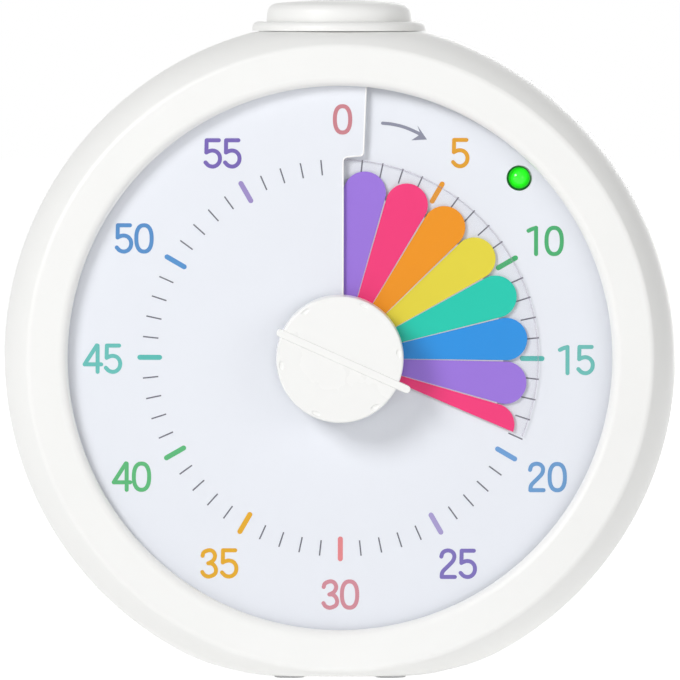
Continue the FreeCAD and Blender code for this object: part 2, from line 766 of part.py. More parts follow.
def slot_half():
    return VOLUME_TRAVEL + SLIDER_W / 2 + MOVE_GAP


def volume_cut():
    """Shallow dish and slot for the volume slider."""
    half_x = slot_half()
    half_z = SLIDER_H / 2 + MOVE_GAP
    slot = block((VOLUME_X - half_x, VOLUME_X + half_x), (COVER_INSIDE - 1, BODY_DEPTH + 1),
                 (VOLUME_Z - half_z, VOLUME_Z + half_z))
    dish_x = half_x + VOLUME_MARGIN
    dish_z = half_z + VOLUME_MARGIN
    dish = block((VOLUME_X - dish_x, VOLUME_X + dish_x),
                 (BODY_DEPTH - VOLUME_DISH, BODY_DEPTH + 1),
                 (VOLUME_Z - dish_z, VOLUME_Z + dish_z))
    upright_edges = [edge for edge in dish.Edges
                     if edge.BoundBox.YLength > VOLUME_DISH / 2 and edge.BoundBox.XLength < SEAT_GAP]
    return dish.makeFillet(VOLUME_CORNER, upright_edges).fuse(slot)


def volume_switch():
    """Sealed slide switch body behind the slot, with a channel for the slider's foot."""
    width, height, deep = VOLUME_BODY
    back = COVER_INSIDE - SEAT_GAP
    body = block((VOLUME_X - width / 2, VOLUME_X + width / 2), (back - deep, back),
                 (VOLUME_Z - height / 2, VOLUME_Z + height / 2))
    half_x = slot_half()
    half_z = SLIDER_H / 2 + MOVE_GAP
    channel = block((VOLUME_X - half_x, VOLUME_X + half_x), (back - deep / 2, back + 1),
                    (VOLUME_Z - half_z, VOLUME_Z + half_z))
    return body.cut(channel)


def volume_slider():
    """Slider with three finger ridges, level with the cover's back face."""
    front = COVER_INSIDE - SEAT_GAP - VOLUME_BODY[2] / 2 + MOVE_GAP
    back = BODY_DEPTH - SLIDER_SUNK
    slider = block((VOLUME_X - SLIDER_W / 2, VOLUME_X + SLIDER_W / 2), (front, back),
                   (VOLUME_Z - SLIDER_H / 2, VOLUME_Z + SLIDER_H / 2))
    for i in (-1, 1):
        x = VOLUME_X + i * SLIDER_W / 5
        slider = slider.cut(block((x - RIDGE_GAP / 2, x + RIDGE_GAP / 2),
                                  (back - RIDGE_DEEP, back + 1),
                                  (VOLUME_Z - SLIDER_H, VOLUME_Z + SLIDER_H)))
    return slider


def slit_cut():
    """What is cut off the raised end of the dial sheet: the edge runs up from the knob beside 12,
    steps to the right outside the time disc and runs on to the rim."""
    step_z = FILM_R + STEP_CLEAR
    right = SLIT_STEP_X + SHEET_R * math.sin(math.radians(REACH_DEG))
    top = SHEET_R + 1
    start = (SLIT_X, 0.0)
    before = (SLIT_X, step_z - STEP_ROUND / 2)
    turn = (SLIT_X + STEP_ROUND / 4, step_z)
    after = (SLIT_X + STEP_ROUND, step_z + STEP_ROUND / 3)
    low = SHEET_FRONT - CLIMB / 2
    section = outline(lambda x, z: V(x, -1, z), start, before, (turn, after),
                      (SLIT_STEP_X, step_z + STEP_ROUND), (SLIT_STEP_X + SLIT_LEAN, top),
                      (right, top), (right, 0.0))
    return Part.Face(section).extrude(V(0, low + 1, 0))


def dial_sheet():
    """Printed sheet, one turn of a screw surface, with the stepped slit and the lamp's hole."""
    sheet = screw_sweep(SHEET_HOLE_R, SHEET_R, SHEET_FRONT, SHEET_T, -TUCK_DEG, 360 + REACH_DEG)
    sheet = sheet.cut(slit_cut())
    lamp = clock_point(LED_AT, LED_CLOCK)
    return sheet.cut(rod(LED_R + LED_HOLE_GAP, LIP_DEPTH - 1, TRAY_FRONT, lamp))


def time_film():
    """Clear film that winds with the knob, with notches for the collar's splines."""
    film = screw_sweep(FILM_IN_R, FILM_R, FILM_MIDDLE - FILM_T / 2, FILM_T,
                       TIME_SHOWN_DEG - FILM_TURN, TIME_SHOWN_DEG)
    return film.cut(splines(MOVE_GAP))


def splines(clearance):
    """Keys round the collar; with a clearance, the notches that they run in."""
    keys = []
    half = SPLINE_W / 2 + clearance
    reach = COLLAR_R + SPLINE_RISE + clearance
    for i in range(SPLINE_COUNT):
        key = block((-half, half), (KNOB_BACK + SEAT_GAP - clearance, COLLAR_BACK + clearance),
                    (COLLAR_R - 1, reach))
        key.rotate(V(0, 0, 0), V(0, 1, 0), TIME_SHOWN_DEG + (i + 0.5) * 360 / SPLINE_COUNT)
        keys.append(key)
    return keys[0].multiFuse(keys[1:])


def film_collar():
    """Splined collar on the spindle that turns the film and lets it climb."""
    body = rod(COLLAR_R, KNOB_BACK + SEAT_GAP, COLLAR_BACK).fuse(splines(0.0))
    return body.cut(rod(SPINDLE_R + FIT_GAP, 0, TRAY_BACK)).removeSplitter()


def knob():
    """Tapered round knob, hollow behind, with six small notches round its face."""
    front = -KNOB_PROUD
    edge = rounded((KNOB_FACE_R - KNOB_EDGE, front + KNOB_EDGE), KNOB_EDGE, 90, 0, 2)
    body = spun((0, front), *edge, (KNOB_R, KNOB_BACK), (0, KNOB_BACK))
    hollow = spun((KNOB_HUB_R, front + KNOB_WALL + POINTER_DEEP),
                  (KNOB_FACE_R - KNOB_WALL, front + KNOB_WALL + POINTER_DEEP),
                  (KNOB_R - KNOB_WALL, KNOB_BACK + 1), (KNOB_HUB_R, KNOB_BACK + 1))
    body = body.cut(hollow)
    for i in range(NOTCH_COUNT):
        clock = TIME_SHOWN_DEG + (i + 0.5) * 360 / NOTCH_COUNT
        notch = block((-NOTCH_W / 2, NOTCH_W / 2), (front - 1, KNOB_BACK - NOTCH_SHORT),
                      (KNOB_FACE_R - NOTCH_DEEP, KNOB_R + 1))
        lean = math.degrees(math.atan((KNOB_R - KNOB_FACE_R) / (KNOB_PROUD + KNOB_BACK)))
        notch.rotate(V(0, front, KNOB_FACE_R - NOTCH_DEEP), V(1, 0, 0), lean)
        notch.rotate(V(0, 0, 0), V(0, 1, 0), clock)
        body = body.cut(notch)
    body = body.cut(pointer_form(FIT_GAP))
    return body.cut(rod(SPINDLE_R + FIT_GAP, KNOB_BACK - SPINDLE_IN_KNOB, KNOB_BACK + 1))


def pointer_form(clearance):
    """Round-ended bar across the knob, turned to the time shown."""
    half = POINTER_W / 2 + clearance
    tip = KNOB_R + POINTER_PAST - POINTER_W / 2
    tail = POINTER_W / 2 - KNOB_R - TAIL_PAST
    section = outline(lambda x, z: V(x, -POINTER_TOP, z),
                      (half, tail), (half, tip), ((0, tip + half), (-half, tip)), (-half, tail),
                      ((0, tail - half), (half, tail)))
    bar = Part.Face(section).extrude(V(0, POINTER_RISE + POINTER_DEEP + clearance, 0))
    bar.rotate(V(0, 0, 0), V(0, 1, 0), TIME_SHOWN_DEG)
    return bar


def knob_pointer():
    return pointer_form(0.0)


def spindle():
    """Steel shaft from the knob through both bearings, with a groove for the clip."""
    front = KNOB_BACK - SPINDLE_IN_KNOB + FIT_GAP
    back = PLATE_BACK - MOVE_GAP
    shaft = rod(SPINDLE_R, front, back)
    return shaft.cut(tube(SPINDLE_R + 1, SPINDLE_R - CLIP_GROOVE, CLIP_FRONT, CLIP_FRONT + CLIP_T))


def retaining_clip():
    """Open clip in the spindle's groove, behind the bush."""
    front = CLIP_FRONT + FIT_GAP
    back = CLIP_FRONT + CLIP_T - FIT_GAP
    ring = tube(CLIP_R, SPINDLE_R - CLIP_GROOVE + FIT_GAP, front, back)
    return ring.cut(block((-CLIP_MOUTH / 2, CLIP_MOUTH / 2), (front - 1, back + 1), (-CLIP_R - 1, 0)))


def bearing_bush():
    """Flanged brass bush pressed into the tray's boss."""
    rim = rod(BUSH_RIM_R, TRAY_FRONT, TRAY_FRONT + BUSH_RIM_T)
    return rim.fuse(rod(BUSH_R, TRAY_FRONT, BUSH_BACK)).cut(rod(SPINDLE_R + RUN_GAP, 0, BUSH_BACK + 1))


def dial_tray():
    """Round tray behind the dial: a screw-shaped ledge carries the sheet, a boss holds the bush,
    posts behind carry the movement plate, the main board and the lamp's board."""
    floor = rod(TRAY_R, TRAY_FRONT, TRAY_BACK)
    floor = floor.fuse(at_each(EAR_CLOCKS, EAR_CENTRE, tray_ear))
    under = SHEET_FRONT + SHEET_T + SEAT_GAP
    tall = TRAY_BACK - SEAT_GAP - under
    outer = SHEET_R + SEAM
    ledge = screw_sweep(outer - LEDGE_W, outer, under, tall, 0, 360 - TUCK_DEG - 1)
    tray = floor.fuse(ledge)
    tray = tray.fuse(rod(BUSH_RIM_R + BOSS_WALL, TRAY_FRONT, BUSH_BACK - SEAT_GAP))
    foot = TRAY_BACK - TRAY_T / 2
    for x, z in PLATE_POSTS:
        tray = tray.fuse(post(POST_R, foot, PLATE_FRONT - SEAT_GAP, V(x, 0, z)))
    for x, z in MAIN_POSTS:
        tray = tray.fuse(post(MAIN_POST_R, foot, MAIN_DEPTH - SEAT_GAP, V(x, 0, z)))
    for at in led_posts():
        tray = tray.fuse(post(LED_POST_R, foot, LED_BACK - SEAT_GAP, at))
    idler = idler_centre()
    tray = tray.fuse(post(POST_R, foot, WHEEL_FRONT - 2 * PINION_OVERHANG, idler))
    tray = tray.cut(rod(IDLER_AXLE_R + FIT_GAP, TRAY_BACK, PLATE_FRONT, idler))
    tray = tray.cut(rod(BUSH_RIM_R + FIT_GAP, TRAY_FRONT - 1, TRAY_FRONT + BUSH_RIM_T + SEAT_GAP))
    tray = tray.cut(rod(BUSH_R + FIT_GAP, TRAY_FRONT - 1, BUSH_BACK + 1))
    tray = tray.cut(rod(LED_R + LED_HOLE_GAP, TRAY_FRONT - 1, TRAY_BACK + 1,
                        clock_point(LED_AT, LED_CLOCK)))
    return tray.removeSplitter()


def tray_ear(at):
    return rod(EAR_R, TRAY_FRONT, TRAY_BACK, at)


def led_posts():
    centre = clock_point(LED_AT, LED_CLOCK)
    offset = V(LED_BOARD[0] / 2 - LED_POST_R, 0, 0)
    return [centre + offset, centre - offset]


def led():
    """5 mm lamp: domed lens, rim and two leads."""
    at = clock_point(LED_AT, LED_CLOCK)
    rim_front = LED_BACK - LED_RIM_T
    dome = rounded((0, LED_FRONT + LED_R), LED_R, 90, 0)
    lens = spun(*dome, (LED_R, rim_front), (LED_RIM_R, rim_front), (LED_RIM_R, LED_BACK),
                (0, LED_BACK))
    lens.translate(at)
    for lead in led_leads():
        lens = lens.fuse(plate_at(lead, (LEAD_T, LEAD_T), (rim_front, LED_BACK + BOARD_T + LEAD_PAST)))
    return lens


def led_leads():
    at = clock_point(LED_AT, LED_CLOCK)
    return [at + V(side * LEAD_PITCH / 2, 0, 0) for side in (-1, 1)]


def led_board():
    depth = (LED_BACK, LED_BACK + BOARD_T)
    board = plate_at(clock_point(LED_AT, LED_CLOCK), LED_BOARD, depth)
    for lead in led_leads():
        board = board.cut(plate_at(lead, (2 * LEAD_T, 2 * LEAD_T), depth))
    return board


def gear_outline(teeth, clock):
    """Closed wire of a spur gear with straight flanks; a tooth points at the clock angle."""
    pitch_r = MODULE * teeth / 2
    tip_r = pitch_r + TOOTH_TIP * MODULE
    root_r = pitch_r - TOOTH_ROOT * MODULE
    pressure = math.radians(PRESSURE_DEG)
    base_r = pitch_r * math.cos(pressure)
    half_at_pitch = math.pi / (2 * teeth) * TOOTH_FILL

    def involute(angle):
        return math.tan(angle) - angle

    def half_angle(radius):
        roll = math.acos(min(1.0, base_r / max(radius, base_r)))
        return math.degrees(half_at_pitch + involute(pressure) - involute(roll))

    points = []
    for i in range(teeth):
        middle = clock + i * 360 / teeth
        points.append(clock_point(root_r, middle - half_angle(root_r)))
        points.append(clock_point(tip_r, middle - half_angle(tip_r)))
        points.append(clock_point(tip_r, middle + half_angle(tip_r)))
        points.append(clock_point(root_r, middle + half_angle(root_r)))
    return Part.makePolygon(points + points[:1])


def gear_blank(teeth, clock, front, back, at=None):
    blank = Part.Face(gear_outline(teeth, clock)).extrude(V(0, back - front, 0))
    blank.translate(V(0, front, 0) + (at or V(0, 0, 0)))
    return blank


def idler_centre():
    return clock_point(FIRST_CENTRES, IDLER_CLOCK)


def motor_centre():
    return idler_centre() + clock_point(SECOND_CENTRES, MOTOR_CLOCK)


def main_wheel():
    """Wheel with a hub on the spindle; the zero magnet is let into its face."""
    wheel = gear_blank(WHEEL_TEETH, IDLER_CLOCK, WHEEL_FRONT, WHEEL_BACK)
    hub = rod(HUB_R, WHEEL_FRONT, WHEEL_FRONT + WHEEL_HUB_T)
    wheel = wheel.fuse(hub)
    wheel = wheel.cut(rod(MAGNET_R + FIT_GAP, WHEEL_FRONT - 1, WHEEL_BACK + 1, magnet_centre()))
    return wheel.cut(rod(SPINDLE_R + FIT_GAP, 0, BODY_DEPTH))


def magnet_centre():
    return clock_point(MAGNET_AT, SENSOR_CLOCK + TIME_SHOWN_DEG)


def zero_magnet():
    return rod(MAGNET_R, WHEEL_BACK - MAGNET_T, WHEEL_BACK, magnet_centre())


def zero_sensor():
    """Small board on the movement plate, with the sensor that the magnet passes at zero."""
    at = clock_point(MAGNET_AT, SENSOR_CLOCK)
    back = PLATE_FRONT - SEAT_GAP
    seat = back - SENSOR_BOARD[1]
    board = plate_at(at, SENSOR_BOARD[::2], (seat, back))
    return board.fuse(plate_at(at, SENSOR_CHIP[::2], (seat - SENSOR_CHIP[1], seat)))


def clutch_spring():
    """Leaf spring with arms between the clip and the wheel, so the knob can slip past the gears."""
    back = CLUTCH_FRONT + CLUTCH_T
    spring = tube(SPINDLE_R + ARM_W, SPINDLE_R + FIT_GAP, CLUTCH_FRONT, back)
    for i in range(ARM_COUNT):
        arm = block((-ARM_W / 2, ARM_W / 2), (back - CLUTCH_T / 2, back),
                    (SPINDLE_R + ARM_W / 2, CLUTCH_R))
        arm.rotate(V(0, 0, 0), V(0, 1, 0), i * 360 / ARM_COUNT)
        spring = spring.fuse(arm)
    return spring


def clutch_hub():
    """Collar pressed on the spindle behind the wheel."""
    return tube(HUB_R, SPINDLE_R + FIT_GAP, HUB_FRONT, HUB_FRONT + CLUTCH_HUB_T)


def idler_gear():
    """Pinion and wheel in one moulding, loose on its axle."""
    at = idler_centre()
    facing = IDLER_CLOCK + 180 + 180 / PINION_TEETH
    pinion = gear_blank(PINION_TEETH, facing, WHEEL_FRONT - PINION_OVERHANG, IDLER_FRONT, at)
    wheel = gear_blank(IDLER_TEETH, MOTOR_CLOCK, IDLER_FRONT, IDLER_BACK, at)
    boss = rod(MODULE * PINION_TEETH / 2, IDLER_BACK, PLATE_FRONT - MOVE_GAP, at)
    gear = pinion.fuse(wheel).fuse(boss)
    return gear.cut(rod(IDLER_AXLE_R + RUN_GAP, 0, BODY_DEPTH, at))


def idler_axle():
    at = idler_centre()
    return rod(IDLER_AXLE_R, TRAY_BACK + SEAT_GAP, PLATE_BACK, at)


def motor_pinion():
    """Pinion on the motor's output shaft, in mesh with the idler's wheel."""
    at = motor_centre()
    facing = MOTOR_CLOCK + 180 + 180 / PINION_TEETH
    pinion = gear_blank(PINION_TEETH, facing, IDLER_FRONT - PINION_OVERHANG,
                        IDLER_BACK + PINION_OVERHANG, at)
    return pinion.fuse(rod(MOTOR_SHAFT_R, IDLER_BACK, PLATE_BACK + SHAFT_IN_MOTOR, at))


def gear_motor():
    """Sealed can of the geared motor, with its end cap."""
    at = motor_centre()
    front = PLATE_BACK + SEAT_GAP
    back = front + MOTOR_LENGTH
    can = rod(MOTOR_R, front, back, at).fuse(rod(MOTOR_CAP_R, back, back + MOTOR_CAP_T, at))
    bore_end = PLATE_BACK + SHAFT_IN_MOTOR + MOVE_GAP
    return can.cut(rod(MOTOR_SHAFT_R + RUN_GAP, PLATE_BACK - 1, bore_end, at))


def movement_plate():
    """Plate on the tray's posts that carries the motor and the back ends of the shafts."""
    rim = POST_R + PLATE_RIM
    corners = [V(x, PLATE_FRONT, z) for x, z in PLATE_POSTS]
    core = Part.Face(Part.makePolygon(corners + corners[:1])).extrude(V(0, PLATE_T, 0))
    plate = core
    for i, corner in enumerate(corners):
        after = corners[(i + 1) % len(corners)]
        span = after - corner
        clock = math.degrees(math.atan2(span.x, span.z))
        side = block((-rim, rim), (0, PLATE_T), (0, span.Length))
        side.rotate(V(0, 0, 0), V(0, 1, 0), clock)
        side.translate(corner)
        plate = plate.fuse(side).fuse(rod(rim, PLATE_FRONT, PLATE_BACK, corner))
    plate = plate.fuse(rod(MOTOR_R + PLATE_RIM / 2, PLATE_FRONT, PLATE_BACK, motor_centre()))
    plate = plate.cut(rod(SPINDLE_R + RUN_GAP, 0, BODY_DEPTH))
    plate = plate.cut(rod(IDLER_AXLE_R + FIT_GAP, 0, BODY_DEPTH, idler_centre()))
    plate = plate.cut(rod(MOTOR_SHAFT_R + MOVE_GAP, 0, BODY_DEPTH, motor_centre()))
    return plate.removeSplitter()


def main_board():
    """Circuit board on three posts, with its larger parts on the back."""
    back = MAIN_DEPTH + MAIN_T
    board = block(MAIN_X, (MAIN_DEPTH, back), MAIN_Z)
    middle = V(sum(MAIN_X) / 2, 0, sum(MAIN_Z) / 2)
    chip = plate_at(middle, CHIP[::2], (back, back + CHIP[1]))
    left = MAIN_X[0] + SOCKET_IN[0]
    low = MAIN_Z[0] + SOCKET_IN[1]
    socket = block((left, left + SOCKET[0]), (back, back + SOCKET[1]), (low, low + SOCKET[2]))
    at = V(MAIN_X[1] - CANISTER_IN[0], 0, MAIN_Z[1] - CANISTER_IN[1])
    canister = rod(CANISTER_R, back, back + CANISTER_T, at)
    return board.fuse(chip).fuse(socket).fuse(canister)


def button_flange():
    """Ring on the seat with a cup below it that passes through the case wall. Two claws under
    the wall hold it, and the button runs in the cup."""
    mouth_r = BUTTON_R + MOVE_GAP
    top = BUTTON_FOOT
    mouth_low = top - CUP_MOUTH_DROP
    edge = rounded((FLANGE_R - FLANGE_ROUND, top - FLANGE_ROUND), FLANGE_ROUND, -90, 0, 2)
    floor_top = CUP_FLOOR + CUP_FLOOR_T
    cup = spun_upright((0, CUP_FLOOR), (0, floor_top), (CUP_IN_R, floor_top), (CUP_IN_R, mouth_low),
                       (mouth_r, mouth_low), (mouth_r, top), *edge,
                       (FLANGE_R, SEAT_RISE + SEAT_GAP),
                       (CUP_R, SEAT_RISE + SEAT_GAP), (CUP_R, CUP_FLOOR))
    hole = SWITCH_W / 2 + MOVE_GAP
    cup = cup.cut(block((-hole, hole), (BUTTON_DEPTH - hole, BUTTON_DEPTH + hole),
                        (CUP_FLOOR - 1, floor_top + 1)))
    claw_r = CUP_R + CLAW_OUT
    claw_top = math.sqrt((BODY_R - SIDE_DRAFT - WALL) ** 2 - claw_r ** 2) - SEAM
    root = (CUP_R + CUP_IN_R) / 2
    for side in (-1, 1):
        section = outline(lambda x, z: V(x, BUTTON_DEPTH - CLAW_W / 2, z),
                          (side * root, claw_top), (side * claw_r, claw_top),
                          (side * root, CUP_FLOOR))
        cup = cup.fuse(Part.Face(section).extrude(V(0, CLAW_W, 0)))
    return cup.removeSplitter()


def button_cap():
    """Domed button with a skirt, a lip that keeps it in the cup and a stem over the switch."""
    side_top = BUTTON_FOOT + BUTTON_SIDE
    lip_r = BUTTON_R + SKIRT_LIP
    lip_top = BUTTON_FOOT - CUP_MOUTH_DROP - SEAM
    rim_r = BUTTON_R - BUTTON_ROUND
    rim_z = side_top + BUTTON_ROUND
    sag = BUTTON_FOOT + BUTTON_RISE - rim_z
    dome_r = (rim_r ** 2 + sag ** 2) / (2 * sag)
    lean = math.degrees(math.asin(rim_r / dome_r))
    dome = rounded((0, rim_z + sag - dome_r), dome_r, -90, lean - 90, DOME_STEPS)
    edge = rounded((rim_r, side_top), BUTTON_ROUND, -90, 0)
    roof = side_top - ROOF_DROP
    skirt_in = BUTTON_R - BUTTON_WALL
    cap = spun_upright((0, roof), *dome, *edge[1:], (BUTTON_R, lip_top), (lip_r, lip_top),
                       (lip_r, SKIRT_END), (skirt_in, SKIRT_END), (skirt_in, roof))
    return cap.fuse(upright(STEM_R, plunger_top() + SEAT_GAP, side_top)).removeSplitter()


def switch_top():
    return CUP_FLOOR - SEAT_GAP + SWITCH_H


def plunger_top():
    return switch_top() + PLUNGER_RISE


def switch_board():
    """Square board under the cup's floor."""
    half = SWITCH_BOARD / 2
    top = CUP_FLOOR - SEAT_GAP
    return block((-half, half), (BUTTON_DEPTH - half, BUTTON_DEPTH + half), (top - BOARD_T, top))


def tact_switch():
    half = SWITCH_W / 2
    body = block((-half, half), (BUTTON_DEPTH - half, BUTTON_DEPTH + half),
                 (CUP_FLOOR - SEAT_GAP, switch_top()))
    return body.cut(upright(PLUNGER_R + MOVE_GAP / 2, switch_top() - BUTTON_TRAVEL - 1,
                            switch_top() + 1))


def switch_plunger():
    return upright(PLUNGER_R, switch_top() - PLUNGER_IN, plunger_top())


def button_spring():
    """Coil spring round the switch, from the cup's floor to the button's roof."""
    low = CUP_FLOOR + CUP_FLOOR_T + SPRING_WIRE / 2 + SEAT_GAP
    high = BUTTON_FOOT + BUTTON_SIDE - ROOF_DROP - SPRING_WIRE / 2 - SEAT_GAP
    wire = coil(SPRING_R, SPRING_WIRE, SPRING_TURNS, high - low)
    wire.translate(V(0, BUTTON_DEPTH, low))
    return wire


def main():
    os.makedirs("parts", exist_ok=True)
    save("front_housing", front_housing())
    save("rear_cover", rear_cover())
    save("battery_door", battery_door())
    save("battery_bay", battery_bay())
    for number in (1, 2):
        save("battery_cell_%d" % number, battery_cell(number))
        save("contact_plate_%d" % number, contact_plate(number))
        save("contact_spring_%d" % number, contact_spring(number))
    save("dial_sheet", dial_sheet())
    save("dial_tray", dial_tray())
    save("time_film", time_film())
    save("film_collar", film_collar())
    save("knob", knob())
    save("knob_pointer", knob_pointer())
    save("spindle", spindle())
    save("bearing_bush", bearing_bush())
    save("retaining_clip", retaining_clip())
    save("main_wheel", main_wheel())
    save("zero_magnet", zero_magnet())
    save("zero_sensor", zero_sensor())
    save("clutch_spring", clutch_spring())
    save("clutch_hub", clutch_hub())
    save("idler_gear", idler_gear())
    save("idler_axle", idler_axle())
    save("motor_pinion", motor_pinion())
    save("gear_motor", gear_motor())
    save("movement_plate", movement_plate())
    save("main_board", main_board())
    save("led", led())
    save("led_board", led_board())
    save("button_flange", button_flange())
    save("button_cap", button_cap())
    save("button_spring", button_spring())
    save("tact_switch", tact_switch())
    save("switch_plunger", switch_plunger())
    save("switch_board", switch_board())
    save("sounder", sounder())
    save("volume_switch", volume_switch())
    save("volume_slider", volume_slider())
    for number, clock in enumerate(REAR_CLOCKS, 1):
        save("rear_screw_%d" % number, rear_screw(clock_point(REAR_SCREW_AT, clock)))
    for number, (x, depth) in enumerate(pad_centres(), 1):
        save("base_pad_%d" % number, base_pad(x, depth))


main()
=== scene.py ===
import math

import bpy
from mathutils import Matrix, Vector


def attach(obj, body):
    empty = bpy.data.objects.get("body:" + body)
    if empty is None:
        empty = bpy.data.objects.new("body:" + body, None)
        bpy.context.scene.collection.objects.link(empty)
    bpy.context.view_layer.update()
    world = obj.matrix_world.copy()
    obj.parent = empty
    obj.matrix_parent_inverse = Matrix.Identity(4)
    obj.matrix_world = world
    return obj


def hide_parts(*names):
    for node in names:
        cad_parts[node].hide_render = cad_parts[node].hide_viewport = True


# Visual countdown timer, dressed piece by piece in the order in which it is put together.
# The pieces are modelled in millimetres about the knob's axis: X to the right, Y as depth behind
# the bezel's front face, Z up. Each is then moved once into the frame, in metres.
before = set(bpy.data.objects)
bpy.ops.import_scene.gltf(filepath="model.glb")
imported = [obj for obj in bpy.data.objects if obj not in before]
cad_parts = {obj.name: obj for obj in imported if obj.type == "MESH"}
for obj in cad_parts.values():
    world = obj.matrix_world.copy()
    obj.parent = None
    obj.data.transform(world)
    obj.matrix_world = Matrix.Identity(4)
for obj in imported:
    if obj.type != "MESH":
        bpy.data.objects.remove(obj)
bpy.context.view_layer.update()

# Camera. A long lens in front of the dial and a little above it, as the photograph was taken.
CAMERA_AIM = Vector((0.0, -0.0194, 0.07057))
CAMERA_AWAY = 2.2
CAMERA_RISE = math.radians(2.0)
VIEW_WIDTH = 0.141
bpy.ops.object.select_all(action="DESELECT")
bpy.ops.object.camera_add(
    location=CAMERA_AIM + CAMERA_AWAY * Vector((0, -math.cos(CAMERA_RISE), math.sin(CAMERA_RISE))),
    rotation=(math.pi / 2 - CAMERA_RISE, 0, 0))
camera = bpy.context.object
camera.name = "camera"
camera.data.type = "PERSP"
camera.data.sensor_width = 36
camera.data.lens = 36 * CAMERA_AWAY / VIEW_WIDTH
camera.data.clip_start = 0.05
camera.data.clip_end = 30
bpy.context.scene.camera = camera
bpy.context.scene.view_settings.view_transform = "Standard"


# Floor, backdrop and lamps. A white table in a white room: a lamp up on the left that draws the
# soft shadows, a weaker one on the right, and plain light from all round.
def paint(red, green, blue):
    """Linear colour from screen values of 0 to 255."""
    channels = [c / 255 for c in (red, green, blue)]
    return tuple(c / 12.92 if c <= 0.04045 else ((c + 0.055) / 1.055) ** 2.4
                 for c in channels) + (1.0,)


def seen_plainly(tree):
    """1 for rays that see the room from the camera, in a gloss or through glass."""
    path = tree.nodes.new("ShaderNodeLightPath")
    either = tree.nodes.new("ShaderNodeMath")
    either.operation = "MAXIMUM"
    every = tree.nodes.new("ShaderNodeMath")
    every.operation = "MAXIMUM"
    tree.links.new(path.outputs["Is Camera Ray"], either.inputs[0])
    tree.links.new(path.outputs["Is Glossy Ray"], either.inputs[1])
    tree.links.new(either.outputs[0], every.inputs[0])
    tree.links.new(path.outputs["Is Transmission Ray"], every.inputs[1])
    return every.outputs[0]


ROOM_LEVEL = 0.31
room = bpy.data.worlds.new("room")
bpy.context.scene.world = room
room.use_nodes = True
tree = room.node_tree
tree.nodes.clear()
level = tree.nodes.new("ShaderNodeMapRange")
level.inputs["To Min"].default_value = ROOM_LEVEL
level.inputs["To Max"].default_value = 1.0
tree.links.new(seen_plainly(tree), level.inputs["Value"])
light = tree.nodes.new("ShaderNodeBackground")
light.inputs["Color"].default_value = (1, 1, 1, 1)
tree.links.new(level.outputs["Result"], light.inputs["Strength"])
world_out = tree.nodes.new("ShaderNodeOutputWorld")
tree.links.new(light.outputs[0], world_out.inputs["Surface"])

bpy.ops.object.select_all(action="DESELECT")
bpy.ops.mesh.primitive_circle_add(vertices=96, radius=6, fill_type="NGON", location=(0, 0, 0))
floor = bpy.context.object
floor.name = floor.data.name = "floor"
finish_coat = bpy.data.materials.new("table_white")
finish_coat.use_nodes = True
tree = finish_coat.node_tree
tree.nodes.clear()
top_coat = tree.nodes.new("ShaderNodeBsdfDiffuse")
top_coat.inputs["Color"].default_value = (0.86, 0.86, 0.86, 1)
glow = tree.nodes.new("ShaderNodeEmission")
glow.inputs["Color"].default_value = (1, 1, 1, 1)
share = tree.nodes.new("ShaderNodeMapRange")
share.inputs["To Min"].default_value = 0.18
share.inputs["To Max"].default_value = 0.78
tree.links.new(seen_plainly(tree), share.inputs["Value"])
tree.links.new(share.outputs["Result"], glow.inputs["Strength"])
both = tree.nodes.new("ShaderNodeAddShader")
tree.links.new(top_coat.outputs[0], both.inputs[0])
tree.links.new(glow.outputs[0], both.inputs[1])
floor_out = tree.nodes.new("ShaderNodeOutputMaterial")
tree.links.new(both.outputs[0], floor_out.inputs["Surface"])
floor.data.materials.append(finish_coat)

LAMPS = (
    ("key_lamp", (-0.86, -1.13, 0.78), 0.6, 12.4),
    ("fill_lamp", (1.2, -1.2, 0.25), 1.2, 6.0),
    ("rear_lamp", (0.5, 1.6, 0.4), 0.9, 9.0),
)
for name, place, size, power in LAMPS:
    bpy.ops.object.select_all(action="DESELECT")
    turn = (Vector((0, 0, 0.07)) - Vector(place)).to_track_quat("-Z", "Y").to_euler()
    bpy.ops.object.light_add(type="AREA", location=place, rotation=turn)
    lamp = bpy.context.object
    lamp.name = name
    lamp.data.shape = "DISK"
    lamp.data.size = size
    lamp.data.energy = power


# Front housing. One moulding of white satin plastic with a flat bezel ring, a rolled shoulder and
# a slightly drawn-in side wall. Its base and its seat for the button are pressed flat.
BODY_R = 70.0
BODY_DEPTH = 45.0
WALL = 2.4
SIDE_DRAFT = 0.4
BEZEL_R = 64.8
BEZEL_EDGE = 1.7
WINDOW_R = 56.54
LIP_DEPTH = 3.0
LIP_FILLET = 2.0
SHOULDER_R = 17.75
SHOULDER_END = 12.55
COVER_FRONT = 41.0
BASE_DROP = 66.3
BASE_HALF = 13.911
BASE_CORNER = 42.0
BASE_TURN = math.atan2(BASE_HALF, BASE_DROP - BASE_CORNER)
SEAT_RISE = 67.8
BUTTON_DEPTH = 23.0
CUP_R = 17.0
SEAM = 0.15
SHELL_IN_R = 64.2
FRONT_Y = -0.019375
DIAL_Z = 0.0667
TO_FRAME = Matrix.Translation((0, FRONT_Y, DIAL_Z)) @ Matrix.Scale(0.001, 4)


def nothing_selected():
    if bpy.context.object and bpy.context.object.mode != "OBJECT":
        bpy.ops.object.mode_set(mode="OBJECT")
    bpy.ops.object.select_all(action="DESELECT")


def pick(piece):
    """Makes a piece the only one that is selected."""
    nothing_selected()
    bpy.context.view_layer.objects.active = piece
    piece.select_set(True)


def bend(centre, radius, start, end, steps):
    """Points round a corner of a section. 0 degrees points outwards and 90 to the front."""
    points = []
    for i in range(steps + 1):
        angle = math.radians(start + (end - start) * i / steps)
        points.append((centre[0] + radius * math.cos(angle), centre[1] - radius * math.sin(angle)))
    return points


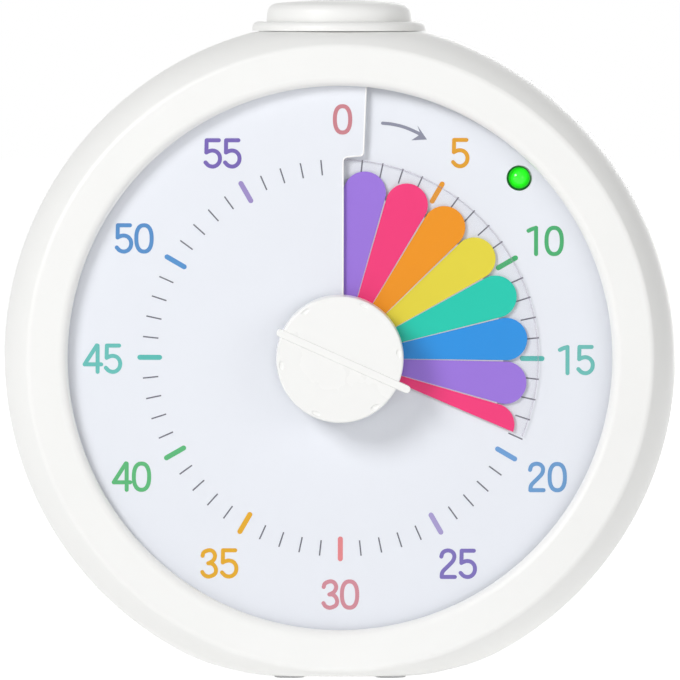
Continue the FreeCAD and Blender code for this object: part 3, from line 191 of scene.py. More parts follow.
def turned(name, section, steps, centre=(0, 0, 0), upright=False):
    """A section of radius and depth, or height, drawn point after point and spun all round."""
    nothing_selected()
    centre = Vector(centre)
    places = [centre + Vector((r, 0, along) if upright else (r, along, 0)) for r, along in section]
    bpy.ops.mesh.primitive_plane_add(size=1, location=(0, 0, 0))
    piece = bpy.context.object
    piece.name = piece.data.name = name
    bpy.ops.object.mode_set(mode="EDIT")
    bpy.ops.mesh.select_mode(type="VERT")
    bpy.ops.mesh.merge(type="CENTER")
    bpy.ops.transform.translate(value=places[0])
    for here, there in zip(places, places[1:]):
        bpy.ops.mesh.extrude_vertices_move(TRANSFORM_OT_translate={"value": there - here})
    bpy.ops.mesh.select_all(action="SELECT")
    bpy.ops.mesh.spin(steps=steps, angle=math.tau, center=centre,
                      axis=(0, 0, 1) if upright else (0, 1, 0))
    bpy.ops.mesh.select_all(action="SELECT")
    bpy.ops.mesh.remove_doubles(threshold=0.0008)
    bpy.ops.mesh.fill_holes(sides=0)
    bpy.ops.mesh.select_all(action="SELECT")
    bpy.ops.mesh.normals_make_consistent(inside=False)
    bpy.ops.object.mode_set(mode="OBJECT")
    return piece


def worked(piece, modifier, **settings):
    """Adds a modifier to a piece and applies it."""
    pick(piece)
    added = piece.modifiers.new(modifier.lower(), modifier)
    for key, value in settings.items():
        setattr(added, key, value)
    bpy.ops.object.modifier_apply(modifier=added.name)
    return piece


def cut_out(piece, cutter, operation="DIFFERENCE"):
    """Cuts one piece with another, which is used up."""
    worked(piece, "BOOLEAN", object=cutter, operation=operation, solver="EXACT")
    bpy.data.objects.remove(cutter)
    return piece


def rod(name, radius, low, high, centre, steps=64, upright=False):
    """Round rod along the depth or standing up, between two depths or heights."""
    nothing_selected()
    middle = (low + high) / 2
    at = (centre[0], centre[1], middle) if upright else (centre[0], middle, centre[1])
    bpy.ops.mesh.primitive_cylinder_add(vertices=steps, radius=radius, depth=high - low,
                                        location=at,
                                        rotation=(0, 0, 0) if upright else (math.pi / 2, 0, 0))
    piece = bpy.context.object
    piece.name = piece.data.name = name
    bpy.ops.object.transform_apply()
    return piece


def block(name, x, depth, z):
    """Box between pairs of limits."""
    nothing_selected()
    bpy.ops.mesh.primitive_cube_add(size=1, location=[(a + b) / 2 for a, b in (x, depth, z)])
    piece = bpy.context.object
    piece.name = piece.data.name = name
    piece.scale = [b - a for a, b in (x, depth, z)]
    bpy.ops.object.transform_apply()
    return piece


def outline_reach(x, z):
    """How far the case's outline reaches from the axis in the direction of a point."""
    length = math.hypot(x, z)
    across, up = abs(x) / length, z / length
    if up > 0:
        return min(BODY_R, SEAT_RISE / up)
    if math.atan2(across, -up) > BASE_TURN:
        return BODY_R
    flat = -BASE_DROP / up
    if across * flat <= BASE_HALF:
        return flat
    corner = Vector((BASE_HALF, BASE_CORNER - BASE_DROP))
    along = across * corner.x + up * corner.y
    return along + math.sqrt(along ** 2 - corner.length_squared + BASE_CORNER ** 2)


def pressed_flat(piece, inset):
    """Moves what lies outside the case's outline in to it, with a soft start to each flat. Inset
    gives how far inside the outline a point of the section has to stay."""
    for vertex in piece.data.vertices:
        x, depth, z = vertex.co
        radius = math.hypot(x, z)
        if radius < 1:
            continue
        reach = outline_reach(x, z)
        soft = min(1.5, 2 * (BODY_R - reach))
        if soft < 1e-4:
            continue
        limit = reach - inset(radius, depth)
        if radius < limit - soft:
            continue
        share = max(0.0, min(1.0, 0.5 + 0.5 * (limit - radius) / soft))
        target = limit * (1 - share) + radius * share - soft * share * (1 - share)
        vertex.co.x *= target / radius
        vertex.co.z *= target / radius
    piece.data.update()


def settle(piece, angle=35):
    """Moves a finished piece into the frame, in metres, and smooths its shading."""
    pick(piece)
    bpy.ops.object.transform_apply()
    piece.data.transform(TO_FRAME)
    bpy.ops.object.shade_smooth_by_angle(angle=math.radians(angle))
    return worked(piece, "WEIGHTED_NORMAL", keep_sharp=True)


def moulded_skin():
    """Fine grain, faint cloudiness and uneven gloss of a moulded or printed surface."""
    group = bpy.data.node_groups.new("moulded_skin", "ShaderNodeTree")
    face = group.interface
    face.new_socket("Place", in_out="INPUT", socket_type="NodeSocketVector")
    face.new_socket("Colour", in_out="INPUT", socket_type="NodeSocketColor")
    for name in ("Grain Size", "Grain Depth", "Cloud", "Gloss Low", "Gloss High"):
        face.new_socket(name, in_out="INPUT", socket_type="NodeSocketFloat")
    face.new_socket("Colour", in_out="OUTPUT", socket_type="NodeSocketColor")
    face.new_socket("Roughness", in_out="OUTPUT", socket_type="NodeSocketFloat")
    face.new_socket("Normal", in_out="OUTPUT", socket_type="NodeSocketVector")
    add, join = group.nodes.new, group.links.new
    given, made = add("NodeGroupInput"), add("NodeGroupOutput")
    grain = add("ShaderNodeTexNoise")
    grain.inputs["Detail"].default_value = 3
    join(given.outputs["Place"], grain.inputs["Vector"])
    join(given.outputs["Grain Size"], grain.inputs["Scale"])
    bump = add("ShaderNodeBump")
    bump.inputs["Strength"].default_value = 1.0
    join(given.outputs["Grain Depth"], bump.inputs["Distance"])
    join(grain.outputs["Fac"], bump.inputs["Height"])
    join(bump.outputs["Normal"], made.inputs["Normal"])
    cloud = add("ShaderNodeTexNoise")
    cloud.inputs["Scale"].default_value = 45
    cloud.inputs["Detail"].default_value = 4
    join(given.outputs["Place"], cloud.inputs["Vector"])
    tone = add("ShaderNodeMix")
    tone.data_type = "RGBA"
    tone.blend_type = "MULTIPLY"
    join(given.outputs["Cloud"], tone.inputs["Factor"])
    join(given.outputs["Colour"], tone.inputs["A"])
    join(cloud.outputs["Fac"], tone.inputs["B"])
    join(tone.outputs["Result"], made.inputs["Colour"])
    gloss = add("ShaderNodeMapRange")
    gloss.inputs["From Min"].default_value = 0.3
    gloss.inputs["From Max"].default_value = 0.7
    join(cloud.outputs["Fac"], gloss.inputs["Value"])
    join(given.outputs["Gloss Low"], gloss.inputs["To Min"])
    join(given.outputs["Gloss High"], gloss.inputs["To Max"])
    join(gloss.outputs["Result"], made.inputs["Roughness"])
    return group


SKIN = moulded_skin()


def skinned(name, colour, size=2600, depth=0.00001, cloud=0.04, gloss=(0.36, 0.46), **sockets):
    """A material of one colour with the moulded skin. Other sockets are set by their names."""
    material = bpy.data.materials.new(name)
    material.use_nodes = True
    tree = material.node_tree
    shader = tree.nodes["Principled BSDF"]
    place = tree.nodes.new("ShaderNodeTexCoord")
    skin = tree.nodes.new("ShaderNodeGroup")
    skin.node_tree = SKIN
    tree.links.new(place.outputs["Object"], skin.inputs["Place"])
    given = {"Colour": colour, "Grain Size": size, "Grain Depth": depth, "Cloud": cloud,
             "Gloss Low": gloss[0], "Gloss High": gloss[1]}
    for socket, value in given.items():
        skin.inputs[socket].default_value = value
    for made, socket in (("Colour", "Base Color"), ("Roughness", "Roughness"), ("Normal", "Normal")):
        tree.links.new(skin.outputs[made], shader.inputs[socket])
    for socket, value in sockets.items():
        shader.inputs[socket.replace("_", " ")].default_value = value
    material.diffuse_color = colour
    return material


CASE_WHITE = skinned("case_white", paint(249, 249, 247), size=2600, depth=0.000008)

slope = math.radians(45)
side = BEZEL_EDGE * math.tan(slope / 2)
shell = [(WINDOW_R, LIP_DEPTH)]
shell += bend((WINDOW_R + LIP_FILLET, LIP_FILLET), LIP_FILLET, 180, 90, 10)
shell += bend((BEZEL_R - side, BEZEL_EDGE), BEZEL_EDGE, 90, 45, 6)
shell += bend((BODY_R - SHOULDER_R, SHOULDER_END), SHOULDER_R, 45, 0, 22)[1:]
shell += [(BODY_R - SIDE_DRAFT * i / 6, SHOULDER_END + (COVER_FRONT - SHOULDER_END) * i / 6)
          for i in range(1, 7)]
shell += [(BODY_R - SIDE_DRAFT - WALL, COVER_FRONT), (BODY_R - WALL, SHOULDER_END),
          (SHELL_IN_R, LIP_DEPTH), (WINDOW_R, LIP_DEPTH)]
front_housing = turned("front_housing_shell", shell, 288)
pressed_flat(front_housing, lambda r, depth: WALL if depth > 3.5 and r < 68.3 - 5 * (depth < 12)
             else 0.0)
cut_out(front_housing, rod("cup_hole", CUP_R + SEAM, 60, 72, (0, BUTTON_DEPTH), 96, True))
PAD_X = 10.51
PAD_R = 3.2
for x in (-PAD_X, PAD_X):
    for depth in (8, BODY_DEPTH - 8):
        recess = rod("pad_recess", PAD_R + SEAM, -70, -BASE_DROP + 0.5, (x, depth), 48, True)
        cut_out(front_housing, recess)
front_housing.data.materials.append(CASE_WHITE)
settle(front_housing, 40)
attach(front_housing, "housing")
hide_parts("front_housing")


# Rear cover. A moulded plate with a rounded rim that plugs into the case, with screw wells, the
# battery opening, a grille of slots over the sounder and a dish for the volume slider.
COVER_INSIDE = 42.6
COVER_FILLET = 3.0
PLUG_IN_R, PLUG_R, PLUG_FRONT = 65.45, 67.05, 39.15
WELL_R, WELL_DEEP = 3.1, 2.2
REAR_SCREW_AT = 61.5
REAR_CLOCKS = (45, 135, 225, 315)
DOOR_X, DOOR_GAP, DOOR_LOW, DOOR_HIGH = 30.3, 0.3, -52.7, -18.9
SOUND_X, SOUND_Z, SOUND_R = 34.0, 20.0, 11.5
GRILLE_SLOTS, GRILLE_PITCH, GRILLE_W = 5, 3.4, 1.6
VOLUME_X, VOLUME_Z = -36.0, 20.0
SLOT_HALF = (4.4, 1.8)
DISH_DEEP, DISH_MARGIN, DISH_CORNER = 0.9, 2.0, 1.5


def clock_place(radius, clock):
    """X and Z of a point at a radius and a clock angle, seen from the front."""
    return (radius * math.sin(math.radians(clock)), radius * math.cos(math.radians(clock)))


def bevelled(piece, width, segments=2, angle=50):
    """Small round-over on a piece's sharp edges."""
    return worked(piece, "BEVEL", width=width, segments=segments, limit_method="ANGLE",
                  angle_limit=math.radians(angle), miter_outer="MITER_ARC")


def rounded_path(corners, steps=6):
    """Points along straight runs whose corners, given with a radius, are rounded."""
    points = []
    for i, (x, z, radius) in enumerate(corners):
        if not radius:
            points.append(Vector((x, z)))
            continue
        here = Vector((x, z))
        back = (Vector(corners[i - 1][:2]) - here).normalized()
        on = (Vector(corners[(i + 1) % len(corners)][:2]) - here).normalized()
        half = back.angle(on) / 2
        reach = radius / math.tan(half)
        middle = here + (back + on).normalized() * radius / math.sin(half)
        first, last = here + back * reach - middle, here + on * reach - middle
        turn = first.angle_signed(last)
        for j in range(steps + 1):
            points.append(middle + Matrix.Rotation(-turn * j / steps, 2) @ first)
    return points


def flat_prism(name, points, front, back):
    """Filled outline of X and Z points, extruded from a front to a back depth."""
    nothing_selected()
    bpy.ops.mesh.primitive_circle_add(vertices=len(points), radius=1, fill_type="NGON",
                                      location=(0, 0, 0))
    piece = bpy.context.object
    piece.name = piece.data.name = name
    for vertex, point in zip(piece.data.vertices, points):
        vertex.co = (point[0], front, point[1])
    bpy.ops.object.mode_set(mode="EDIT")
    bpy.ops.mesh.select_all(action="SELECT")
    bpy.ops.mesh.extrude_region_move(TRANSFORM_OT_translate={"value": (0, back - front, 0)})
    bpy.ops.mesh.select_all(action="SELECT")
    bpy.ops.mesh.normals_make_consistent(inside=False)
    bpy.ops.object.mode_set(mode="OBJECT")
    return piece


rim_r = BODY_R - SIDE_DRAFT - SEAM
plate = [(60, COVER_INSIDE), (PLUG_IN_R, COVER_INSIDE), (PLUG_IN_R, PLUG_FRONT),
         (PLUG_R, PLUG_FRONT), (PLUG_R, COVER_FRONT + SEAM), (rim_r, COVER_FRONT + SEAM)]
plate += bend((rim_r - COVER_FILLET, BODY_DEPTH - COVER_FILLET), COVER_FILLET, 0, -90, 10)
plate += [(64, BODY_DEPTH)]
rear_cover = turned("rear_cover_plate", plate, 192)
pressed_flat(rear_cover, lambda r, depth: SEAM + rim_r - r if r > 63 else 0.0)
cutters = [block("door_opening", (-DOOR_X - DOOR_GAP, DOOR_X + DOOR_GAP), (40, 46),
                 (DOOR_LOW - DOOR_GAP, DOOR_HIGH + DOOR_GAP)),
           rod("cup_clearance", CUP_R + 2, 60, SEAT_RISE - WALL, (0, BUTTON_DEPTH), 64, True)]
for clock in REAR_CLOCKS:
    at = clock_place(REAR_SCREW_AT, clock)
    cutters.append(rod("well", WELL_R, BODY_DEPTH - WELL_DEEP, 46, at, 48))
for i in range(GRILLE_SLOTS):
    across = (i - (GRILLE_SLOTS - 1) / 2) * GRILLE_PITCH
    half = math.sqrt((SOUND_R - GRILLE_W) ** 2 - across ** 2) - GRILLE_W
    x = SOUND_X + across
    slot = block("grille_slot", (x - GRILLE_W / 2, x + GRILLE_W / 2), (40, 46),
                 (SOUND_Z - half, SOUND_Z + half))
    for end in (-half, half):
        cut_out(slot, rod("slot_end", GRILLE_W / 2, 40.0, 46.0, (x, SOUND_Z + end), 24), "UNION")
    cutters.append(slot)
across, up = SLOT_HALF[0] + DISH_MARGIN, SLOT_HALF[1] + DISH_MARGIN
dish = rounded_path([(VOLUME_X + x * across, VOLUME_Z + z * up, DISH_CORNER)
                     for x, z in ((-1, -1), (1, -1), (1, 1), (-1, 1))])
cutters.append(flat_prism("volume_dish", [tuple(p) for p in dish], BODY_DEPTH - DISH_DEEP, 46))
cutters.append(block("volume_slot", (VOLUME_X - SLOT_HALF[0], VOLUME_X + SLOT_HALF[0]), (40, 46),
                     (VOLUME_Z - SLOT_HALF[1], VOLUME_Z + SLOT_HALF[1])))
for cutter in cutters:
    cut_out(rear_cover, cutter)
bevelled(rear_cover, 0.2)
rear_cover.data.materials.append(CASE_WHITE)
settle(rear_cover, 40)
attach(rear_cover, "housing")
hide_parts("rear_cover")


# Rear screws. Four small steel screws with cross recesses, sunk in the cover's wells.
STEEL = skinned("steel", paint(176, 178, 182), size=900, depth=0.000004, cloud=0.2,
                gloss=(0.22, 0.38), Metallic=1.0)
screw_section = [(0, 32.5), (1.0, 32.5), (1.3, 33.0), (1.3, 42.0), (2.8, 42.0)]
screw_section += bend((2.2, 43.3), 0.6, 0, -90, 4) + [(0, 43.95)]
for number, clock in enumerate(REAR_CLOCKS, 1):
    at = clock_place(REAR_SCREW_AT, clock)
    screw = turned("rear_screw_%d_metal" % number, screw_section, 40, (at[0], 0, at[1]))
    for size in ((1.5, 0.35), (0.35, 1.5)):
        cut_out(screw, block("cross", (at[0] - size[0], at[0] + size[0]), (43.0, 45.0),
                             (at[1] - size[1], at[1] + size[1])))
    screw.data.materials.append(STEEL)
    settle(screw)
    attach(screw, "housing")
    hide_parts("rear_screw_%d" % number)


# Base pads. Four clear-grey silicone discs in recesses of the base.
SILICONE = skinned("pad_silicone", paint(226, 227, 228), size=1800, gloss=(0.5, 0.62))
pad_section = [(0, -BASE_DROP + 0.45), (PAD_R, -BASE_DROP + 0.45)]
pad_section += bend((PAD_R - 0.3, -BASE_DROP - 0.1), 0.3, 0, 90, 4) + [(0, -BASE_DROP - 0.4)]
number = 0
for depth in (8, BODY_DEPTH - 8):
    for x in (-PAD_X, PAD_X):
        number += 1
        pad = turned("base_pad_%d_disc" % number, pad_section, 40, (x, depth, 0), True)
        pad.data.materials.append(SILICONE)
        settle(pad)
        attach(pad, "housing")
        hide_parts("base_pad_%d" % number)


# Battery door. A flat moulded flap with a rolled lower edge, two pins, grip grooves and a dished
# thumb rest.
HINGE_Z, HINGE_DEPTH, HINGE_R, PIN_R = -51.1, 43.4, 1.6, 1.0
along_hinge = Matrix.Translation((0, HINGE_DEPTH, HINGE_Z)) @ Matrix.Rotation(math.pi / 2, 4, "Y")
door = block("battery_door_flap", (-DOOR_X, DOOR_X), (43, BODY_DEPTH), (HINGE_Z, DOOR_HIGH))
roll = turned("roll", [(0, -DOOR_X), (HINGE_R, -DOOR_X), (HINGE_R, DOOR_X), (0, DOOR_X)], 48,
              (0, 0, 0), True)
roll.data.transform(along_hinge)
cut_out(door, roll, "UNION")
pin_reach = DOOR_X + 1.4
pin = turned("pin", [(0, -pin_reach), (PIN_R - 0.2, -pin_reach), (PIN_R, 0.2 - pin_reach),
                     (PIN_R, pin_reach - 0.2), (PIN_R - 0.2, pin_reach), (0, pin_reach)], 32,
             (0, 0, 0), True)
pin.data.transform(along_hinge)
cut_out(door, pin, "UNION")
THUMB_R, THUMB_DEEP = 7.0, 0.9
ball_r = (THUMB_R ** 2 + THUMB_DEEP ** 2) / (2 * THUMB_DEEP)
nothing_selected()
bpy.ops.mesh.primitive_uv_sphere_add(segments=192, ring_count=96, radius=ball_r,
                                     location=(0, BODY_DEPTH + ball_r - THUMB_DEEP,
                                               DOOR_HIGH - THUMB_R - 1.5))
cut_out(door, bpy.context.object)
for i in range(3):
    groove_z = HINGE_Z + 5.0 + 2.2 * i
    cut_out(door, block("groove", (-12, 12), (BODY_DEPTH - 0.4, 46), (groove_z, groove_z + 0.9)))
bevelled(door, 0.2, 2, 40)
door.data.materials.append(CASE_WHITE)
settle(door, 40)
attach(door, "battery_door")
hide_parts("battery_door")


# Battery bay and cells. A white box with two cells head to tail. Each cell is a steel can in a
# shrunk plastic sleeve with a plain band and a plastic ring at one end.
INNER_PLASTIC = skinned("inner_plastic", paint(226, 227, 226), size=1500, gloss=(0.42, 0.55))
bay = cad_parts["battery_bay"]
bay.data.materials.clear()
bay.data.materials.append(INNER_PLASTIC)

SLEEVE = skinned("cell_sleeve", paint(46, 62, 92), size=300, depth=0.00001, cloud=0.1,
                 gloss=(0.22, 0.3))
BAND = skinned("cell_band", paint(196, 200, 206), size=300, depth=0.00001, gloss=(0.22, 0.3))
RING_PLASTIC = skinned("cell_ring", paint(232, 232, 228), size=900, gloss=(0.4, 0.5))
CELL_R, CELL_LENGTH, CELL_DEPTH, BAY_MID, CELL_PITCH = 7.1, 49.2, 35.0, -35.8, 15.4
half = CELL_LENGTH / 2
cell_section = [(0, -half), (5.6, -half), (5.9, 0.25 - half), (6.3, 0.25 - half),
                (6.3, 0.05 - half), (6.8, 0.05 - half), (CELL_R, 0.4 - half), (CELL_R, 8 - half),
                (CELL_R, 8.6 - half), (CELL_R, half - 0.5), (6.7, half - 0.1), (5.8, half - 0.1),
                (5.8, half - 0.3), (3.2, half - 0.3), (3.2, half), (2.6, half),
                (2.6, half + 0.9), (2.3, half + 1.2), (0, half + 1.2)]
for number, way in ((1, 1), (2, -1)):
    cell = turned("battery_cell_%d_wrapped" % number, cell_section, 64, (0, 0, 0), True)
    for finish in (SLEEVE, BAND, RING_PLASTIC, STEEL):
        cell.data.materials.append(finish)
    for face in cell.data.polygons:
        middle = face.center
        radius = math.hypot(middle.x, middle.y)
        if radius > 6.4:
            face.material_index = 1 if 8 - half < middle.z < 8.6 - half else 0
        elif middle.z > 0 and radius > 3.2:
            face.material_index = 2
        else:
            face.material_index = 3
    place = Matrix.Translation((0, CELL_DEPTH, BAY_MID + way * CELL_PITCH / 2))
    cell.data.transform(place @ Matrix.Rotation(way * math.pi / 2, 4, "Y"))
    settle(cell, 30)
    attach(cell, "housing")
    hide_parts("battery_cell_%d" % number)

ZINC = skinned("zinc_plate", paint(200, 201, 204), size=700, depth=0.000005, cloud=0.12,
               gloss=(0.2, 0.32), Metallic=1.0)
for node in ("contact_plate_1", "contact_plate_2", "contact_spring_1", "contact_spring_2"):
    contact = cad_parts[node]
    contact.data.materials.clear()
    contact.data.materials.append(ZINC)


# Dial sheet. A printed plastic sheet, one turn of a screw surface, whose raised end at 12 has a
# stepped edge. The time disc comes out under that edge.
CLIMB = 1.6
SHEET_FRONT = 4.983
SHEET_T = 0.4
SHEET_IN_R, SHEET_OUT_R = 7.2, 58.84
SHEET_START, SHEET_END = -5.0, 367.5
FILM_R = 41.3
LED_AT, LED_CLOCK, LED_HOLE_R = 52.75, 44.9, 2.65


def wound(piece, front, start=None):
    """Lays a flat piece, drawn with its depth measured from the surface, on the screw surface.
    The clock angle is read past start, or as it is."""
    for vertex in piece.data.vertices:
        clock = math.degrees(math.atan2(vertex.co.x, vertex.co.z))
        if start is not None:
            while clock < start:
                clock += 360
            while clock >= start + 360:
                clock -= 360
        vertex.co.y += front - CLIMB * clock / 360
    piece.data.update()
    return piece


def screw_band(name, inner, outer, start, end, across, along, front, thickness):
    """Grid rolled round the axis into one turn of a screw surface, and thickened."""
    nothing_selected()
    bpy.ops.mesh.primitive_grid_add(x_subdivisions=along, y_subdivisions=across, size=1,
                                    location=(0, 0, 0))
    piece = bpy.context.object
    piece.name = piece.data.name = name
    for vertex in piece.data.vertices:
        clock = start + (end - start) * (vertex.co.x + 0.5)
        radius = inner + (outer - inner) * (vertex.co.y + 0.5)
        x, z = clock_place(radius, clock)
        vertex.co = (x, front - CLIMB * clock / 360, z)
    bpy.ops.object.mode_set(mode="EDIT")
    bpy.ops.mesh.select_all(action="SELECT")
    if sum(f.normal.y for f in piece.data.polygons) > 0:
        bpy.ops.mesh.flip_normals()
    bpy.ops.object.mode_set(mode="OBJECT")
    worked(piece, "SOLIDIFY", thickness=thickness, offset=-1)
    return piece


SLIT_EDGE = rounded_path([(0.62, 0, 0), (0.68, 41.7, 1.0), (4.9, 42.05, 0.8), (5.62, 60, 0)], 8)
sheet = screw_band("dial_sheet_print", SHEET_IN_R, SHEET_OUT_R, SHEET_START, SHEET_END, 24, 372,
                   SHEET_FRONT, SHEET_T)
waste = flat_prism("waste", [tuple(p) for p in SLIT_EDGE] + [(14, 60), (14, 0)], -1,
                   SHEET_FRONT - CLIMB / 2)
cut_out(sheet, waste)
lamp_at = clock_place(LED_AT, LED_CLOCK)
cut_out(sheet, rod("lamp_hole", LED_HOLE_R, 0, 9, lamp_at, 64))
DIAL_PRINT = skinned("dial_lavender", paint(236, 239, 246), size=5200, depth=0.000003, cloud=0.02,
                     gloss=(0.42, 0.5))
sheet.data.materials.append(DIAL_PRINT)
settle(sheet, 30)
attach(sheet, "housing")
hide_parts("dial_sheet")

# Slit edge. The cut edge of the sheet is rolled over, and shows the white of the unprinted back.
nothing_selected()
bpy.ops.curve.primitive_nurbs_path_add(location=(0, 0, 0))
edge_line = bpy.context.object
edge_line.name = "slit_edge_bead"
edge_line.data.splines.clear()
spline = edge_line.data.splines.new("POLY")
bead_points = [p for p in SLIT_EDGE if 8 < p.y < 58]
bead_points = [Vector((0.63, 8.2))] + bead_points + [Vector((5.55, 58.2))]
fine = []
for a, b in zip(bead_points, bead_points[1:]):
    count = max(1, round((b - a).length / 2))
    fine += [a.lerp(b, i / count) for i in range(count)]
fine.append(bead_points[-1])
spline.points.add(len(fine) - 1)
for point, place in zip(spline.points, fine):
    clock = math.degrees(math.atan2(place.x, place.y)) + 360
    depth = SHEET_FRONT - CLIMB * clock / 360 + 0.12
    point.co = (place.x - 0.05, depth, place.y, 1)
edge_line.data.bevel_depth = 0.2
edge_line.data.bevel_resolution = 3
edge_line.data.use_fill_caps = True
bpy.ops.object.convert(target="MESH")
slit_bead = bpy.context.object
SHEET_WHITE = skinned("sheet_white", paint(252, 252, 252), size=3000, gloss=(0.3, 0.4))
slit_bead.data.materials.append(SHEET_WHITE)
settle(slit_bead, 60)
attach(slit_bead, "housing")


# Ticks. Screen-printed marks on the sheet: a thin grey line for each minute and a wider coloured
# one with round ends for every five, except at 0. The print sits a hair off the knob's axis.
INK_T = 0.03
INK_LIFT = 0.004
INK_FRONT, INK_BACK = -INK_LIFT - INK_T, -INK_LIFT
PRINT_SHIFT = (0.2, 0.0)
PRINT_TURN = 0.2


def ink(name, colour):
    return skinned(name, paint(*colour), size=6000, depth=0.000003, cloud=0.05, gloss=(0.35, 0.45))


def joined(name, pieces):
    """One object from several."""
    nothing_selected()
    for piece in pieces:
        piece.select_set(True)
    bpy.context.view_layer.objects.active = pieces[0]
    if len(pieces) > 1:
        bpy.ops.object.join()
    pieces[0].name = pieces[0].data.name = name
    return pieces[0]


def turned_to(piece, clock):
    """Turns a piece drawn at 12 o'clock to a clock angle."""
    piece.data.transform(Matrix.Rotation(math.radians(clock), 4, "Y"))
    return piece


def copied(piece):
    """Another of the same piece."""
    one = piece.copy()
    one.data = piece.data.copy()
    bpy.context.collection.objects.link(one)
    return one


def at_minute(piece, past):
    """Turns a tick to its minute, about the middle of the print."""
    turned_to(piece, 6 * past + PRINT_TURN)
    piece.data.transform(Matrix.Translation((PRINT_SHIFT[0], 0, PRINT_SHIFT[1])))
    return piece


def printed(piece, finish, start=0):
    """Lays flat print on the dial sheet in its ink."""
    wound(piece, SHEET_FRONT, start)
    piece.data.materials.append(finish)
    settle(piece)
    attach(piece, "housing")


minute = flat_prism("minute", [(0.14, 41.35), (-0.14, 41.35), (-0.14, 38.15), (0.14, 38.15)],
                    INK_FRONT, INK_BACK)
minutes = []
for i in range(60):
    if i % 5:
        minutes.append(at_minute(copied(minute), i))
bpy.data.objects.remove(minute)
printed(joined("minute_ticks", minutes), ink("tick_grey", (104, 104, 116)))

TICK_IN, TICK_OUT, TICK_W = 37.15, 42.3, 1.05
TICK_INKS = {5: (234, 154, 25), 10: (62, 176, 108), 15: (86, 190, 181), 20: (108, 159, 215),
             25: (168, 156, 208), 30: (231, 135, 139), 35: (232, 172, 28), 40: (86, 182, 118),
             45: (87, 188, 180), 50: (82, 146, 206), 55: (158, 141, 200)}
bar = []
for start, end in ((0, TICK_OUT - TICK_W / 2), (180, TICK_IN + TICK_W / 2)):
    for i in range(13):
        angle = math.radians(start + 15 * i)
        bar.append((TICK_W / 2 * math.cos(angle), end + TICK_W / 2 * math.sin(angle)))
for value, colour in TICK_INKS.items():
    tick = flat_prism("tick_%d" % value, bar, INK_FRONT, INK_BACK)
    at_minute(tick, value)
    printed(tick, ink("tick_ink_%d" % value, colour))


# Numbers. Upright round-ended figures from 0 to 55, each printed in the ink of its place. A
# figure is drawn as strokes of one pen, from its lower left corner.
STROKE = 0.84
HIGH = 6.3
OVAL_W = 4.02
FIGURES = {
    "1": (2.44, [[(0.44, 5.26), (1.15, 5.6), (2.02, 5.88)], [(2.02, 5.88), (2.02, 0.42)]]),
    "2": (3.7, [[(0.46, 4.66), (0.64, 5.29), (1.09, 5.75), (1.85, 5.93), (2.61, 5.72),
                 (3.08, 5.16), (3.15, 4.56), (2.94, 3.9), (2.48, 3.31), (1.55, 2.38),
                 (0.89, 1.72), (0.6, 1.19), (0.52, 0.43)], [(0.52, 0.43), (3.27, 0.43)]]),
    "3": (3.75, [[(0.5, 4.73), (0.79, 5.47), (1.86, 5.9), (2.7, 5.61), (3.1, 4.73),
                  (2.78, 3.84), (2.15, 3.37), (1.68, 3.18)],
                 [(1.68, 3.18), (2.36, 3.13), (3.0, 2.62), (3.3, 1.73), (2.97, 0.88),
                  (1.84, 0.41), (0.92, 0.71), (0.44, 1.36)]]),
    "4": (4.29, [[(2.95, 5.92), (0.42, 1.98)], [(0.42, 1.98), (3.87, 1.98)],
                 [(3.12, 5.88), (3.12, 0.42)]]),
    "5": (3.88, [[(3.22, 5.88), (0.68, 5.88)], [(0.68, 5.88), (0.63, 3.34)],
                 [(0.62, 3.34), (1.25, 3.63), (1.97, 3.74), (2.73, 3.5), (3.28, 2.88),
                  (3.45, 2.1), (3.27, 1.28), (2.72, 0.66), (1.95, 0.42), (1.1, 0.64),
                  (0.46, 1.27)]]),
}
# For each number its ink, the place of its middle from the knob's axis and the gap inside it.
NUMBERS = {0: ((202, 127, 137), (0.52, 49.57), 0), 5: ((226, 159, 30), (24.96, 42.55), 0),
           10: ((67, 172, 108), (42.6, 24.3), 1.32), 15: ((106, 190, 183), (49.1, -0.46), 1.38),
           20: ((104, 155, 206), (43.11, -24.8), 0.4), 25: ((123, 109, 185), (24.55, -42.85), 0.3),
           30: ((210, 139, 152), (0.05, -49.24), 0.12), 35: ((230, 171, 26), (-25.1, -42.74), 0.33),
           40: ((88, 183, 117), (-43.35, -24.69), -0.1), 45: ((101, 191, 184), (-49.35, -0.15), 0.08),
           50: ((82, 141, 200), (-42.75, 24.85), 0.22), 55: ((116, 96, 178), (-24.4, 42.5), 0.18)}


def flowing(path, steps=6):
    """Smooth line through every point of a path."""
    points = [Vector(p) for p in path]
    if len(points) < 3:
        return points
    ends = [2 * points[0] - points[1]] + points + [2 * points[-1] - points[-2]]
    line = []
    for a, b, c, d in zip(ends, ends[1:], ends[2:], ends[3:]):
        for i in range(steps):
            t = i / steps
            line.append(b + 0.5 * t * (c - a + t * (2 * a - 5 * b + 4 * c - d
                                                    + t * (3 * (b - c) + d - a))))
    return line + [points[-1]]


def pen(path, width=STROKE):
    """Outline of a round-ended stroke along a path."""
    points = flowing(path)
    left, right = [], []
    for i, point in enumerate(points):
        ahead = points[min(i + 1, len(points) - 1)] - points[max(i - 1, 0)]
        aside = Vector((-ahead.y, ahead.x)).normalized() * width / 2
        left.append(point + aside)
        right.append(point - aside)

    def cap(centre, start):
        return [centre + Matrix.Rotation(math.radians(20 * i), 2) @ (start - centre)
                for i in range(1, 9)]
    return right + cap(points[-1], right[-1]) + left[::-1] + cap(points[0], left[0])


def oval(rx, rz, power, steps=64):
    """Points round an upright oval with slightly straight sides."""
    points = []
    for i in range(steps):
        c, s = math.cos(math.tau * i / steps), math.sin(math.tau * i / steps)
        points.append((math.copysign(abs(c) ** (2 / power), c) * rx,
                       math.copysign(abs(s) ** (2 / power), s) * rz))
    return points


